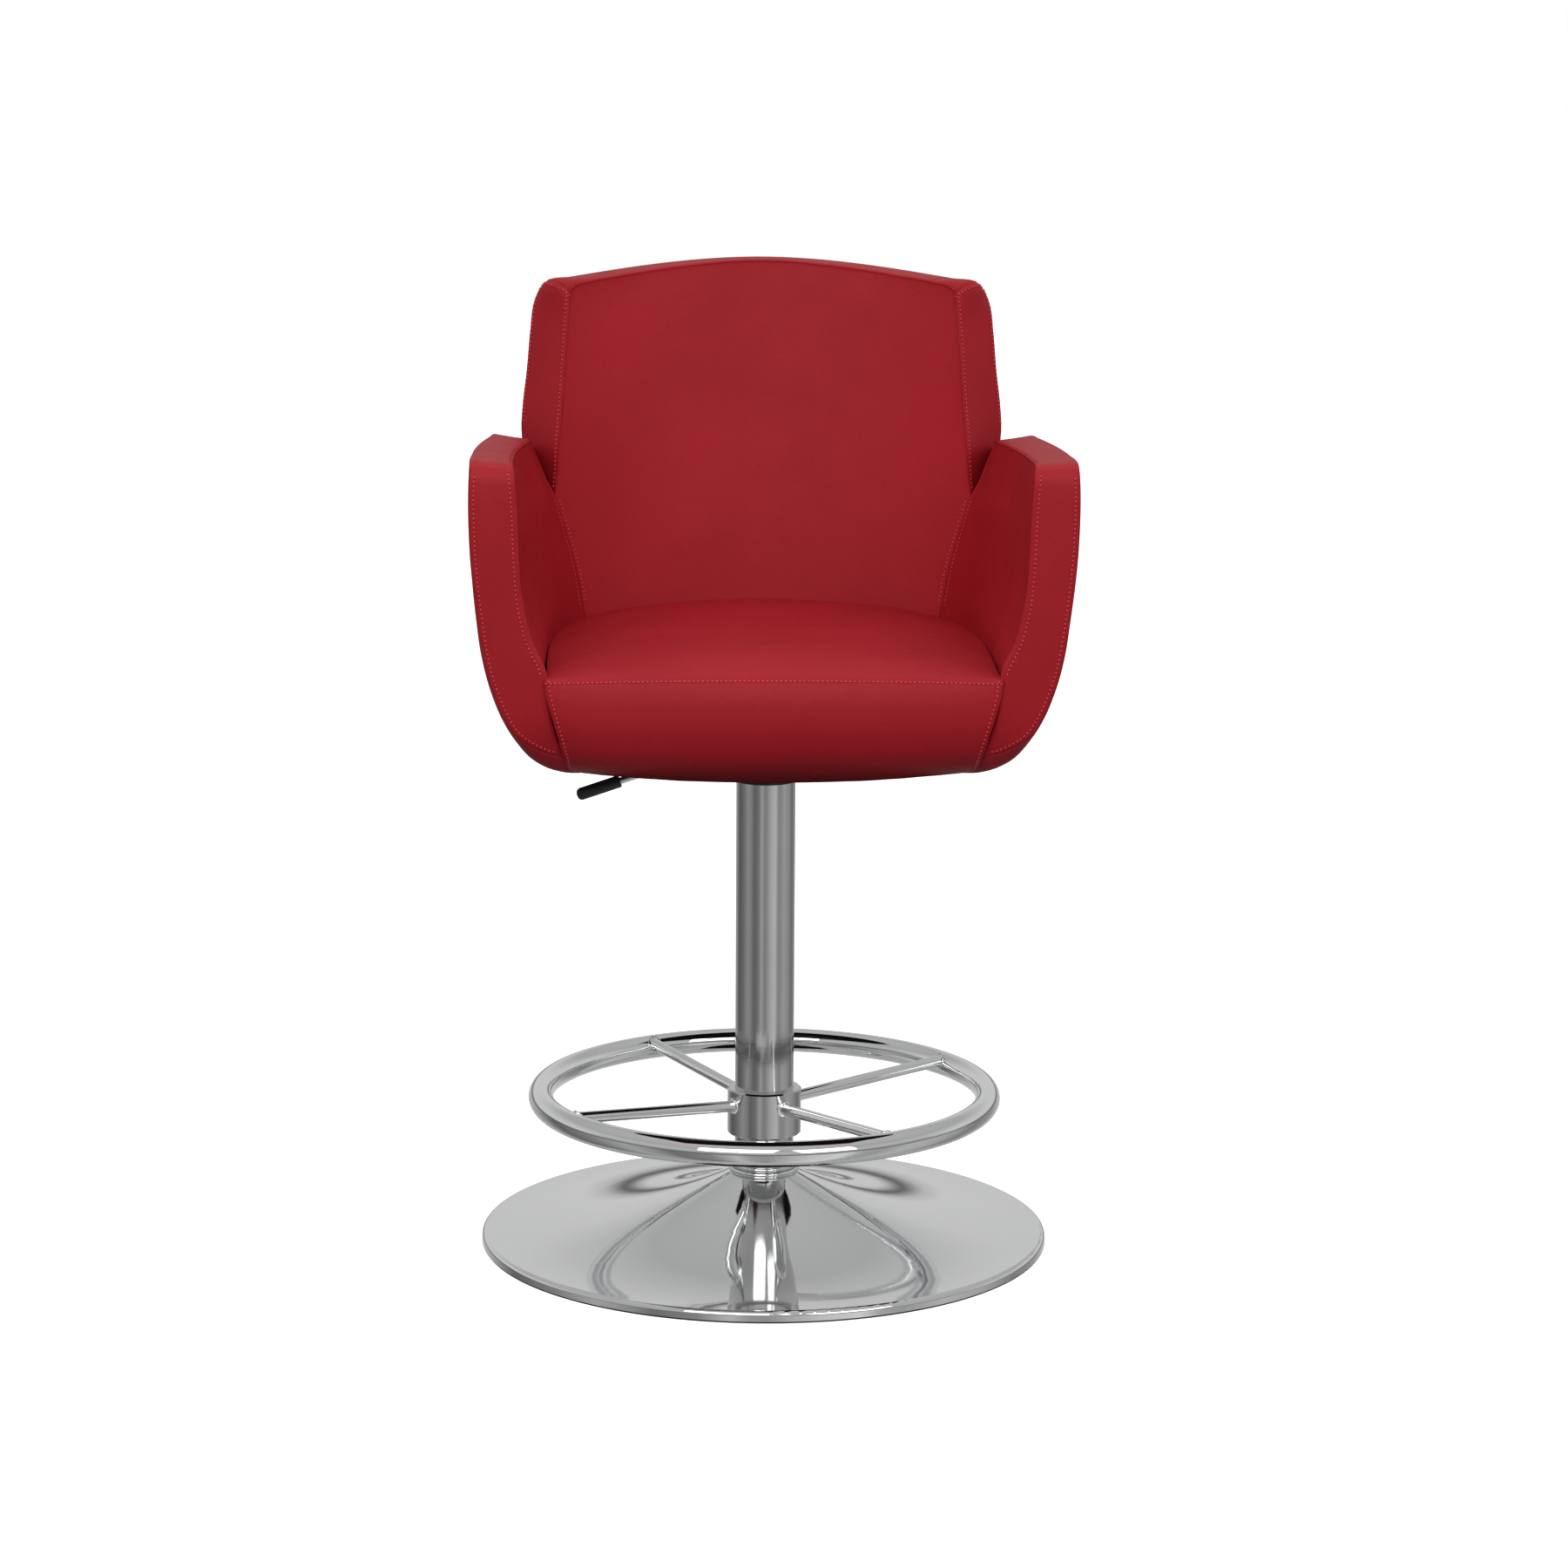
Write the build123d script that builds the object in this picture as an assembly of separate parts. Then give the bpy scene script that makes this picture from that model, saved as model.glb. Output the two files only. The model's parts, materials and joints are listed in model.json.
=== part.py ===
from build123d import *
import math
import os

# Adjustable swivel stool: a chromed disc base, one steel column with a gas lift inside, a fixed
# foot ring and an upholstered tub seat with arms. The origin is on the floor under the column's
# axis, +Z is up, the sitter faces -Y and the release lever is on the sitter's right, at -X.
# Every size is in millimetres, with the seat at its lowest setting.

# Disc base
BASE_R = 290.0
BASE_RIM_TOP = 12.0
BASE_NECK_TOP = 72.0
BASE_NECK_R = 34.0
COVER_WALL = 1.5
FLOOR_RING_DROP = 2.0
BALLAST_R = 262.0
FLANGE_R = 65.0
FLANGE_Z = (16.0, 24.0)
FOOT_BOLT_CIRCLE_R = 46.0

# Column and foot ring
COLUMN_R = 30.15
COLUMN_WALL = 2.0
COLUMN_TOP = 479.0
RING_R = 229.0
RING_TUBE_R = 12.7
RING_WALL = 2.0
RING_Z = 152.0
SPOKE_R = 6.0
SPOKE_COUNT = 4
SPOKE_START_ANGLE = 31.0
SPOKE_Z_AT_COLLAR = 144.0
SPOKE_Z_AT_RING = 158.0
COLLAR_R = 37.8
COLLAR_Z = (112.0, 160.0)
GRUB_R = 4.0

# Gas lift
HEIGHT_TRAVEL = 140.0
STAND_TUBE_R = 25.0
STAND_TUBE_WALL = 2.0
STAND_TUBE_Z = (30.0, 468.0)
CYLINDER_R = 14.0
CYLINDER_BORE_R = 12.0
CYLINDER_Z = (66.0, 513.0)
TAPER_START_Z = 484.5
TAPER_TOP_R = 13.2
ROD_R = 5.0
ROD_SEAL_TOP = CYLINDER_Z[0] + 24.0
PISTON_SPARE = 16.0
PISTON_LOW = ROD_SEAL_TOP + HEIGHT_TRAVEL + PISTON_SPARE
PISTON_Z = (PISTON_LOW, PISTON_LOW + 12.0)
RUNNING_GAP = 0.06
BEARING_Z = (35.0, 41.0)
BUTTON_R = 4.0
BUTTON_Z = (493.0, 522.6)

# Seat mount and release lever
HUB_R = 22.0
HUB_Z = (484.5, 509.0)
CHANNEL_Z = (497.0, 542.0)
CHANNEL_X = 60.0
CHANNEL_Y = 42.0
PLATE_HALF = 90.0
PLATE_BOLT_OFFSET = 72.0
SHEET = 3.0
LEVER_INNER = (8.0, 531.0)
LEVER_TIP = (-191.0, 463.5)
LEVER_R = 3.5
LEVER_PIVOT_X = -34.0
PIN_R = 3.0
GRIP_R = 6.4
GRIP_LENGTH = 46.0

# Upholstered tub seat
BOARD_Z = (545.0, 560.0)
SEAT_FRONT_Y = -255.0
SEAT_EDGE_Z = 624.0
SEAT_CROWN_Z = 640.0
UNDERSIDE_Z = 512.0
ARM_TOP_Z = 827.0
ARM_REAR_Z = 812.0
ARM_REAR_Y = 140.0
ARM_BACK_SPLIT_Y = 136.0
TUB_REAR_Y = 286.0
BACK_TOP_Z = 994.0
BACK_REAR_LEAN = 0.05
BACK_FACE_LOW_Y = 194.0
BACK_FACE_HIGH_Y = 256.0
CAVITY_TOP_Z = 1020.0
UNDER_PAD_HALF = 196.0
RECESS_HALF = 104.0
BRACKET = 5.0

BOLT_R = 4.0
BOLT_HEAD_R = 7.5
BOLT_HEAD_H = 5.0


# ---------------------------------------------------------------- helpers

def tube(outer_r, inner_r, z_low, z_high):
    """A round tube, or a ring, standing on the Z axis."""
    ring = Circle(outer_r) - Circle(inner_r)
    return Pos(0, 0, z_low) * extrude(ring, z_high - z_low)


def disc(radius, z_low, z_high, x=0.0, y=0.0):
    return Pos(x, y, z_low) * extrude(Circle(radius), z_high - z_low)


def block(x_range, y_range, z_range):
    size = [high - low for low, high in (x_range, y_range, z_range)]
    middle = [(high + low) / 2 for low, high in (x_range, y_range, z_range)]
    return Pos(*middle) * Box(*size)


def turned(edges):
    """A solid of revolution about Z from a closed outline given in (radius, z)."""
    return revolve(Plane.XZ * make_face(edges), Axis.Z)


def rod_between(start, end, radius):
    """A straight round bar from one point to another."""
    path = Vector(*end) - Vector(*start)
    plane = Plane(origin=start, z_dir=path)
    return plane * extrude(Circle(radius), path.length)


def polar(radius, angle):
    turn = math.radians(angle)
    return (radius * math.cos(turn), radius * math.sin(turn))


def largest_solid(shape):
    return max(shape.solids(), key=lambda solid: solid.volume)


def mirrored_x(shape):
    return mirror(shape, about=Plane.YZ)


def hex_bolt(x, y, head_low, shank_high):
    """A hex head bolt standing on Z, put in from below."""
    head = Pos(x, y, head_low) * extrude(RegularPolygon(BOLT_HEAD_R, 6), BOLT_HEAD_H)
    return head + disc(BOLT_R, head_low + BOLT_HEAD_H, shank_high, x, y)


# ---------------------------------------------------------------- disc base

def cover_surface(offset):
    """The trumpet curve of the cover, from the neck down to the rim, moved down by offset."""
    neck = (BASE_NECK_R, BASE_NECK_TOP - offset)
    middle = (138.0, 32.5 - offset)
    rim = (BASE_R - 5.0, BASE_RIM_TOP - offset)
    return ThreePointArc(neck, middle, rim)


def base_cover():
    """Pressed steel dish with a rolled rim, mirror chromed."""
    rim_low = FLOOR_RING_DROP
    inner_r = BASE_R - COVER_WALL
    hole_r = COLUMN_R + 0.5
    top = cover_surface(0.0)
    under = cover_surface(COVER_WALL)
    edges = [
        top,
        RadiusArc(top @ 1, (BASE_R, BASE_RIM_TOP - 5.0), 5.0),
        Polyline((BASE_R, BASE_RIM_TOP - 5.0), (BASE_R, rim_low), (inner_r, rim_low),
                 (inner_r, BASE_RIM_TOP - 5.0), under @ 1),
        under,
        Polyline(under @ 0, (hole_r, BASE_NECK_TOP - COVER_WALL), (hole_r, BASE_NECK_TOP),
                 top @ 0),
    ]
    return turned(edges)


def floor_ring():
    """Black rubber ring inside the rim, the only thing that touches the floor."""
    return tube(BASE_R - COVER_WALL, BASE_R - 9.0, 0.0, 6.0)


def ballast_plate():
    """Cast iron weight that fills the low part of the dish."""
    outline = Polyline((14.0, 3.0), (BALLAST_R, 3.0), (BALLAST_R, 8.5), (190.0, 11.0),
                       (120.0, FLANGE_Z[0]), (14.0, FLANGE_Z[0]), close=True)
    plate = turned(outline)
    for angle in range(45, 405, 90):
        x, y = polar(FOOT_BOLT_CIRCLE_R, angle)
        plate -= disc(BOLT_R, 0.0, 40.0, x, y)
        plate -= disc(BOLT_HEAD_R + 1.5, 0.0, 3.0 + BOLT_HEAD_H + 1.0, x, y)
    return plate


def column_flange():
    """Steel flange welded to the column's foot."""
    flange = disc(FLANGE_R, *FLANGE_Z) - disc(14.0, 0.0, 40.0)
    for angle in range(45, 405, 90):
        x, y = polar(FOOT_BOLT_CIRCLE_R, angle)
        flange -= disc(BOLT_R, 0.0, 40.0, x, y)
    return flange


def foot_bolts():
    """Four bolts that clamp the flange to the ballast from below."""
    bolts = []
    for angle in range(45, 405, 90):
        x, y = polar(FOOT_BOLT_CIRCLE_R, angle)
        bolts.append(hex_bolt(x, y, 4.0, FLANGE_Z[1]))
    return Compound(bolts)


def neck_ring(outer_r, z_low, z_high):
    """Polished trim ring with a rounded edge where the column enters the cover."""
    round_r = (z_high - z_low) / 2
    middle_z = (z_high + z_low) / 2
    inner_r = COLUMN_R + 0.05
    flat_r = outer_r - round_r
    edges = [
        Polyline((flat_r, z_low), (inner_r, z_low), (inner_r, z_high), (flat_r, z_high)),
        ThreePointArc((flat_r, z_high), (outer_r, middle_z), (flat_r, z_low)),
    ]
    return turned(edges)


# ---------------------------------------------------------------- column and foot ring

def column_tube():
    return tube(COLUMN_R, COLUMN_R - COLUMN_WALL, FLANGE_Z[1], COLUMN_TOP)


def column_top_ring():
    """Black plastic ring that closes the gap between the column and the gas lift's stand tube."""
    plug = tube(COLUMN_R - COLUMN_WALL, STAND_TUBE_R, COLUMN_TOP - 22.0, COLUMN_TOP)
    plug -= disc(STAND_TUBE_R + 1.0, STAND_TUBE_Z[1], COLUMN_TOP)
    return plug + tube(COLUMN_R, STAND_TUBE_R + 1.0, COLUMN_TOP, COLUMN_TOP + 2.5)


def stand_tube_socket():
    """Steel ring at the column's foot that the stand tube is pressed into."""
    ring = tube(COLUMN_R - COLUMN_WALL, STAND_TUBE_R, STAND_TUBE_Z[0], STAND_TUBE_Z[0] + 40.0)
    return ring + tube(COLUMN_R - COLUMN_WALL, 16.0, FLANGE_Z[1], STAND_TUBE_Z[0])


def footring_collar():
    """Thick sleeve on the column that carries the foot ring, held by two grub screws."""
    sleeve = tube(COLLAR_R, COLUMN_R + 0.05, *COLLAR_Z)
    sleeve = chamfer(sleeve.edges().filter_by(GeomType.CIRCLE).sort_by(SortBy.RADIUS)[-2:], 1.6)
    return sleeve - grub_screw_blanks()


def grub_screw_blanks():
    blanks = []
    for angle in (76.0, 166.0):
        x_in, y_in = polar(COLUMN_R + 0.05, angle)
        x_out, y_out = polar(COLLAR_R - 0.6, angle)
        blanks.append(rod_between((x_in, y_in, 122.0), (x_out, y_out, 122.0), GRUB_R))
    return Compound(blanks)


def collar_grub_screws():
    screws = []
    for blank, angle in zip(grub_screw_blanks().solids(), (76.0, 166.0)):
        x, y = polar(COLLAR_R, angle)
        socket = Plane(origin=(x, y, 122.0), z_dir=(-x, -y, 0)) * extrude(RegularPolygon(2.3, 6), 4.0)
        screws.append(largest_solid(blank - disc(COLUMN_R + 0.05, 100.0, 140.0) - socket))
    return Compound(screws)


def footring_blank():
    return Pos(0, 0, RING_Z) * Torus(RING_R, RING_TUBE_R)


def footring_tube():
    """Round steel tube bent into a full circle."""
    return footring_blank() - Pos(0, 0, RING_Z) * Torus(RING_R, RING_TUBE_R - RING_WALL)


def footring_spoke(angle):
    """Round bar welded between the collar and the inside of the foot ring."""
    x_in, y_in = polar(COLLAR_R - 2.0, angle)
    x_out, y_out = polar(RING_R - 3.0, angle)
    bar = rod_between((x_in, y_in, SPOKE_Z_AT_COLLAR), (x_out, y_out, SPOKE_Z_AT_RING), SPOKE_R)
    bar -= disc(COLLAR_R, *COLLAR_Z)
    return largest_solid(bar - footring_blank())


# ---------------------------------------------------------------- gas lift

def stand_tube():
    """The gas lift's outer tube, with the end plate that its thrust bearing sits on."""
    wall = tube(STAND_TUBE_R, STAND_TUBE_R - STAND_TUBE_WALL, *STAND_TUBE_Z)
    end_plate = tube(STAND_TUBE_R - STAND_TUBE_WALL, ROD_R + RUNNING_GAP, STAND_TUBE_Z[0], BEARING_Z[0])
    return wall + end_plate


def guide_bush():
    """Plastic bush that the cylinder slides and turns in."""
    bush = tube(STAND_TUBE_R - STAND_TUBE_WALL, CYLINDER_R + RUNNING_GAP, STAND_TUBE_Z[1] - 85.0,
                STAND_TUBE_Z[1])
    return bush + tube(STAND_TUBE_R, CYLINDER_R + RUNNING_GAP, STAND_TUBE_Z[1], COLUMN_TOP + 1.5)


def bearing_lower_race():
    return tube(15.0, ROD_R + 0.3, BEARING_Z[0], BEARING_Z[0] + 1.0)


def bearing_balls():
    ball_r = 1.9
    count = 12
    middle_z = BEARING_Z[0] + 1.0 + ball_r
    balls = [Pos(*polar(10.0, 360.0 * i / count), middle_z) * Sphere(ball_r) for i in range(count)]
    return Compound(balls)


def bearing_upper_race():
    return tube(15.0, ROD_R, BEARING_Z[1] - 1.0, BEARING_Z[1])


def rod_clip():
    """Retaining clip under the stand tube's end plate."""
    return tube(9.0, ROD_R, 26.5, 28.5)


def rod_bumper():
    """Rubber buffer that the cylinder comes down on."""
    return tube(11.0, ROD_R, BEARING_Z[1], CYLINDER_Z[0] - 1.0)


def piston_rod():
    return disc(ROD_R, 25.5, PISTON_Z[0] + 2.0)


def piston():
    body = disc(CYLINDER_BORE_R - RUNNING_GAP, *PISTON_Z) - disc(ROD_R, 0.0, PISTON_Z[0] + 2.0)
    groove = tube(CYLINDER_BORE_R, 9.5, PISTON_Z[0] + 4.5, PISTON_Z[0] + 7.5)
    return body - groove


def piston_seal():
    return tube(CYLINDER_BORE_R - RUNNING_GAP / 2, 9.5, PISTON_Z[0] + 4.5, PISTON_Z[0] + 7.5)


def gas_cylinder():
    """Pressure tube with the taper that plugs into the seat's hub."""
    body = disc(CYLINDER_R, CYLINDER_Z[0], TAPER_START_Z)
    taper_length = CYLINDER_Z[1] - TAPER_START_Z
    taper = Pos(0, 0, TAPER_START_Z + taper_length / 2) * Cone(CYLINDER_R, TAPER_TOP_R, taper_length)
    chamber = disc(CYLINDER_BORE_R, CYLINDER_Z[0], BUTTON_Z[0] - 10.0)
    button_hole = disc(BUTTON_R + RUNNING_GAP, CYLINDER_Z[0], CYLINDER_Z[1])
    return body + taper - chamber - button_hole


def rod_seal():
    """Guide and gas seal in the cylinder's lower end."""
    return tube(CYLINDER_BORE_R, ROD_R + RUNNING_GAP, CYLINDER_Z[0] + 2.0, ROD_SEAL_TOP)


def release_button():
    return fillet(disc(BUTTON_R, *BUTTON_Z).edges().sort_by(Axis.Z)[-1], 0.8)


# ---------------------------------------------------------------- seat mount and lever

def taper_hub():
    """Steel hub with the tapered bore that grips the cylinder."""
    bore_length = CYLINDER_Z[1] - TAPER_START_Z
    bore = Pos(0, 0, TAPER_START_Z + bore_length / 2) * Cone(CYLINDER_R, TAPER_TOP_R, bore_length)
    return disc(HUB_R, *HUB_Z) - bore


def mount_channel():
    """Folded steel channel, open at both ends along X, that holds the hub and the lever's pin."""
    y_in = CHANNEL_Y - SHEET
    z_floor = CHANNEL_Z[0] + SHEET
    channel = block((-CHANNEL_X, CHANNEL_X), (-CHANNEL_Y, CHANNEL_Y), CHANNEL_Z)
    channel -= block((-CHANNEL_X, CHANNEL_X), (-y_in, y_in), (z_floor, CHANNEL_Z[1]))
    channel -= disc(HUB_R, *CHANNEL_Z)
    return channel - lever_pin()


def mount_plate():
    plate = block((-PLATE_HALF, PLATE_HALF), (-PLATE_HALF, PLATE_HALF), (CHANNEL_Z[1], BOARD_Z[0]))
    plate = fillet(plate.edges().filter_by(Axis.Z), 12.0)
    for x, y in plate_bolt_places():
        plate -= disc(BOLT_R, CHANNEL_Z[1], BOARD_Z[0], x, y)
    return plate


def plate_bolt_places():
    return [(x, y) for x in (-PLATE_BOLT_OFFSET, PLATE_BOLT_OFFSET)
            for y in (-PLATE_BOLT_OFFSET, PLATE_BOLT_OFFSET)]


def plate_bolts():
    head_low = CHANNEL_Z[1] - BOLT_HEAD_H
    return Compound([hex_bolt(x, y, head_low, BOARD_Z[1] - 1.0) for x, y in plate_bolt_places()])


def tee_nuts():
    """Barbless tee nuts let into the top of the seat board, one over each plate bolt."""
    nuts = []
    for x, y in plate_bolt_places():
        nut = disc(5.5, BOARD_Z[0] + 3.0, BOARD_Z[1], x, y) + disc(11.0, BOARD_Z[1] - 1.5, BOARD_Z[1], x, y)
        nuts.append(nut - disc(BOLT_R, BOARD_Z[0], BOARD_Z[1] - 1.0, x, y))
    return Compound(nuts)


def lever_point(x):
    """The point of the lever's centre line at this x."""
    slope = (LEVER_INNER[1] - LEVER_TIP[1]) / (LEVER_INNER[0] - LEVER_TIP[0])
    return (x, 0.0, LEVER_TIP[1] + slope * (x - LEVER_TIP[0]))


def lever_pin():
    """Pin across the channel that the lever rocks on."""
    x, _, z = lever_point(LEVER_PIVOT_X)
    return rod_between((x, -CHANNEL_Y, z), (x, CHANNEL_Y, z), PIN_R)


def lever_rod_end_x():
    direction_x = (Vector(*lever_point(LEVER_TIP[0])) - Vector(*lever_point(LEVER_INNER[0]))).normalized().X
    return LEVER_TIP[0] - 8.0 * direction_x


def release_lever():
    """Straight steel rod with a cross boss on the pin; its inner end lies over the button."""
    x, _, z = lever_point(LEVER_PIVOT_X)
    rod = rod_between(lever_point(LEVER_INNER[0]), lever_point(lever_rod_end_x()), LEVER_R)
    boss = rod_between((x, -12.0, z), (x, 12.0, z), 7.0)
    bore = rod_between((x, -14.0, z), (x, 14.0, z), PIN_R + RUNNING_GAP)
    return rod + boss - bore


def lever_grip():
    """Moulded black sleeve with a rounded end, pushed on the lever."""
    tip = Vector(*lever_point(LEVER_TIP[0]))
    inward = (Vector(*lever_point(LEVER_INNER[0])) - tip).normalized()
    start = tip + inward * GRIP_LENGTH
    sleeve = rod_between(tuple(start), tuple(tip), GRIP_R)
    ends = sleeve.edges().filter_by(GeomType.CIRCLE).sort_by(Axis.X)
    sleeve = fillet(ends[0], 5.0)
    sleeve = fillet(sleeve.edges().filter_by(GeomType.CIRCLE).sort_by(Axis.X)[-1], 1.0)
    core = rod_between(lever_point(LEVER_INNER[0]), lever_point(lever_rod_end_x()), LEVER_R)
    return sleeve - core


# ---------------------------------------------------------------- tub seat

def tub_front_outline():
    """Outer outline in front view: a U with rounded lower corners and sides that lean out."""
    low_in, low_mid, low_out = (168.0, UNDERSIDE_Z), (241.0, 538.0), (272.0, 590.0)
    side_mid, side_top = (287.5, 685.0), (293.5, 785.0)
    top_out, high = (288.0, ARM_TOP_Z), (288.0, BACK_TOP_Z + 20.0)
    edges = []
    for side in (1.0, -1.0):
        flip = [(side * x, z) for x, z in (low_in, low_mid, low_out, side_mid, side_top, top_out, high)]
        edges.append(ThreePointArc(flip[0], flip[1], flip[2]))
        edges.append(ThreePointArc(flip[2], flip[3], flip[4]))
        edges.append(Polyline(flip[4], flip[5], flip[6]))
    edges.append(Line((-low_in[0], low_in[1]), low_in))
    edges.append(Line((-high[0], high[1]), high))
    return edges


def tub_plan_outline():
    """Outer outline from above: nearly straight sides and a rounded rear, as it is at the crest."""
    front, side_end = (294.0, SEAT_FRONT_Y - 45.0), (285.0, 134.0)
    corner_mid, rear_side, rear_mid = (271.0, 204.0), (226.0, 250.0), (0.0, TUB_REAR_Y)
    edges = [Line((-front[0], front[1]), front)]
    for side in (1.0, -1.0):
        flip = [(side * x, y) for x, y in (front, side_end, corner_mid, rear_side)]
        edges.append(Line(flip[0], flip[1]))
        edges.append(ThreePointArc(flip[1], flip[2], flip[3]))
    edges.append(ThreePointArc(rear_side, rear_mid, (-rear_side[0], rear_side[1])))
    return edges


def tub_side_outline():
    """Outer outline from the side, in (y, z): arm front, arm top, swept wing, back and underside."""
    arm_front = [(SEAT_FRONT_Y, 578.0), (SEAT_FRONT_Y, ARM_TOP_Z - 8.0)]
    arm_top = [(SEAT_FRONT_Y + 8.0, ARM_TOP_Z), (ARM_REAR_Y, ARM_REAR_Z)]
    wing_foot, wing_mid, wing_top = (160.0, 830.0), (171.0, 895.0), (188.0, 968.0)
    crest_mid, crest_end = (250.0, BACK_TOP_Z), (284.0, BACK_TOP_Z - 16.0)
    clear_y = TUB_REAR_Y + 14.0
    rear_low, rear_mid, under_rear = (268.0, 640.0), (246.0, 552.0), (175.0, UNDERSIDE_Z)
    under_front, nose_mid = (-178.0, UNDERSIDE_Z), (-234.0, 531.0)
    return [
        Line(*arm_front),
        RadiusArc(arm_front[1], arm_top[0], 8.0),
        Line(*arm_top),
        ThreePointArc(arm_top[1], (153.0, 817.0), wing_foot),
        ThreePointArc(wing_foot, wing_mid, wing_top),
        ThreePointArc(wing_top, crest_mid, crest_end),
        Polyline(crest_end, (clear_y, 960.0), (clear_y, 650.0), rear_low),
        ThreePointArc(rear_low, rear_mid, under_rear),
        Line(under_rear, under_front),
        ThreePointArc(under_front, nose_mid, arm_front[0]),
    ]


def crest_outline():
    """Outline of the back in front view: leaning sides and a gently arched top."""
    foot, shoulder = (320.0, ARM_REAR_Z - 1.0), (252.0, ARM_REAR_Z)
    corner, crown = (240.0, 938.0), (228.0, 968.0)
    edges = [Polyline((-foot[0], foot[1]), (-foot[0], 400.0), (foot[0], 400.0), foot)]
    for side in (1.0, -1.0):
        flip = [(side * x, z) for x, z in (foot, shoulder, corner, crown)]
        edges.append(Polyline(*flip))
    edges.append(ThreePointArc(crown, (0.0, BACK_TOP_Z), (-crown[0], crown[1])))
    return edges


def tub_outer():
    """The whole tub as one block, the overlap of its three outlines."""
    front = extrude(Plane.XZ * make_face(tub_front_outline()), 400.0, both=True)
    plan_face = Pos(0, -BACK_REAR_LEAN * BACK_TOP_Z, 0) * make_face(tub_plan_outline())
    plan = extrude(plan_face, 1100.0, dir=(0, BACK_REAR_LEAN, 1))
    side = extrude(Plane.YZ * make_face(tub_side_outline()), 400.0, both=True)
    crest = Pos(0, 400.0, 0) * extrude(Plane.XZ * make_face(crest_outline()), 400.0 - ARM_REAR_Y)
    crest += block((-320.0, 320.0), (-320.0, ARM_REAR_Y), (400.0, 1000.0))
    return front & plan & side & crest


def cavity_section(z, front_half, rear_half, rear_side_y, rear_y):
    edges = [
        Line((-front_half, -320.0), (front_half, -320.0)),
        Line((front_half, -320.0), (rear_half, rear_side_y)),
        ThreePointArc((rear_half, rear_side_y), (0.0, rear_y), (-rear_half, rear_side_y)),
        Line((-rear_half, rear_side_y), (-front_half, -320.0)),
    ]
    return Pos(0, 0, z) * make_face(edges)


def tub_cavity():
    """The space between the arms and in front of the back, from the board up."""
    low = cavity_section(BOARD_Z[0], 201.0, 163.0, 160.0, BACK_FACE_LOW_Y)
    high = cavity_section(CAVITY_TOP_Z, 274.0, 300.0, 139.0, BACK_FACE_HIGH_Y)
    return loft([low, high], ruled=True)


def seat_board():
    """Plywood board that the seat, the arms and the back are built on."""
    board = block((-196.0, 196.0), (-228.0, 168.0), BOARD_Z)
    board = fillet(board.edges().filter_by(Axis.Z), 35.0)
    board &= tub_cavity()
    board -= tee_nuts()
    board -= plate_bolts()
    return board - frame_bolts()


def seat_cushion():
    """Foam seat with a crowned top, filling the tub between the arms."""
    half = 213.0
    rise = SEAT_CROWN_Z - SEAT_EDGE_Z
    crown_r = (half * half + rise * rise) / (2.0 * rise)
    slab = block((-250.0, 250.0), (SEAT_FRONT_Y, 235.0), (BOARD_Z[0], SEAT_CROWN_Z + 1.0))
    crown = Pos(0, 0, SEAT_CROWN_Z - crown_r) * Rot(90, 0, 0) * Cylinder(crown_r, 700.0)
    return (slab & crown & tub_cavity()) - seat_board() - tee_nuts() - plate_bolts() - frame_bolts()


def under_pad():
    """Wrapped pad under the board, open in the middle for the seat mount."""
    band = block((-UNDER_PAD_HALF, UNDER_PAD_HALF), (-300.0, ARM_BACK_SPLIT_Y), (400.0, BOARD_Z[0]))
    recess = block((-RECESS_HALF, RECESS_HALF), (-RECESS_HALF, RECESS_HALF), (400.0, BOARD_Z[0]))
    pad = (tub_outer() & band) - recess - side_brackets() - mirrored_x(side_brackets())
    return pad - back_brackets() - frame_bolts()


def arm_region():
    """Everything of the tub on one side that is in front of the back."""
    return block((0.0, 320.0), (-300.0, ARM_BACK_SPLIT_Y), (400.0, ARM_TOP_Z + 1.0))


def right_arm_pad():
    """Foam arm at +X, with its wrapped lower corner."""
    band = block((0.0, UNDER_PAD_HALF), (-300.0, ARM_BACK_SPLIT_Y), (400.0, BOARD_Z[0]))
    pad = (tub_outer() & arm_region()) - tub_cavity() - band
    pad = pad - arm_panel() - side_brackets() - frame_bolts()
    return largest_solid(pad)


def back_pad():
    """Foam back with its side wings, behind the arms."""
    rear = block((-320.0, 320.0), (ARM_BACK_SPLIT_Y, 320.0), (400.0, 1020.0))
    pad = (tub_outer() & rear) - tub_cavity()
    pad = pad - back_panel() - back_brackets() - frame_bolts()
    return largest_solid(pad)


def leaning_strip(x_low, z_low, x_high, z_high, thickness, y_range):
    """A flat panel that leans outwards with height, its inner face given by two points."""
    outline = Polyline((x_low, z_low), (x_high, z_high), (x_high + thickness, z_high),
                       (x_low + thickness, z_low), close=True)
    width = y_range[1] - y_range[0]
    return Pos(0, y_range[1], 0) * extrude(Plane.XZ * make_face(outline), width)


def arm_core_x(z):
    """Inner face of the plywood in the arm at +X, which leans outwards with height."""
    return 232.0 + 0.138 * (z - 578.0)


def arm_panel():
    """Plywood core of the arm at +X."""
    low, high = 578.0, 800.0
    return leaning_strip(arm_core_x(low), low, arm_core_x(high), high, 15.0, (-232.0, 50.0))


def side_brackets():
    """Two flat steel angles on the +X side, from under the board up the arm's core."""
    return Compound([side_bracket(y) for y in (-170.0, 40.0)])


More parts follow.
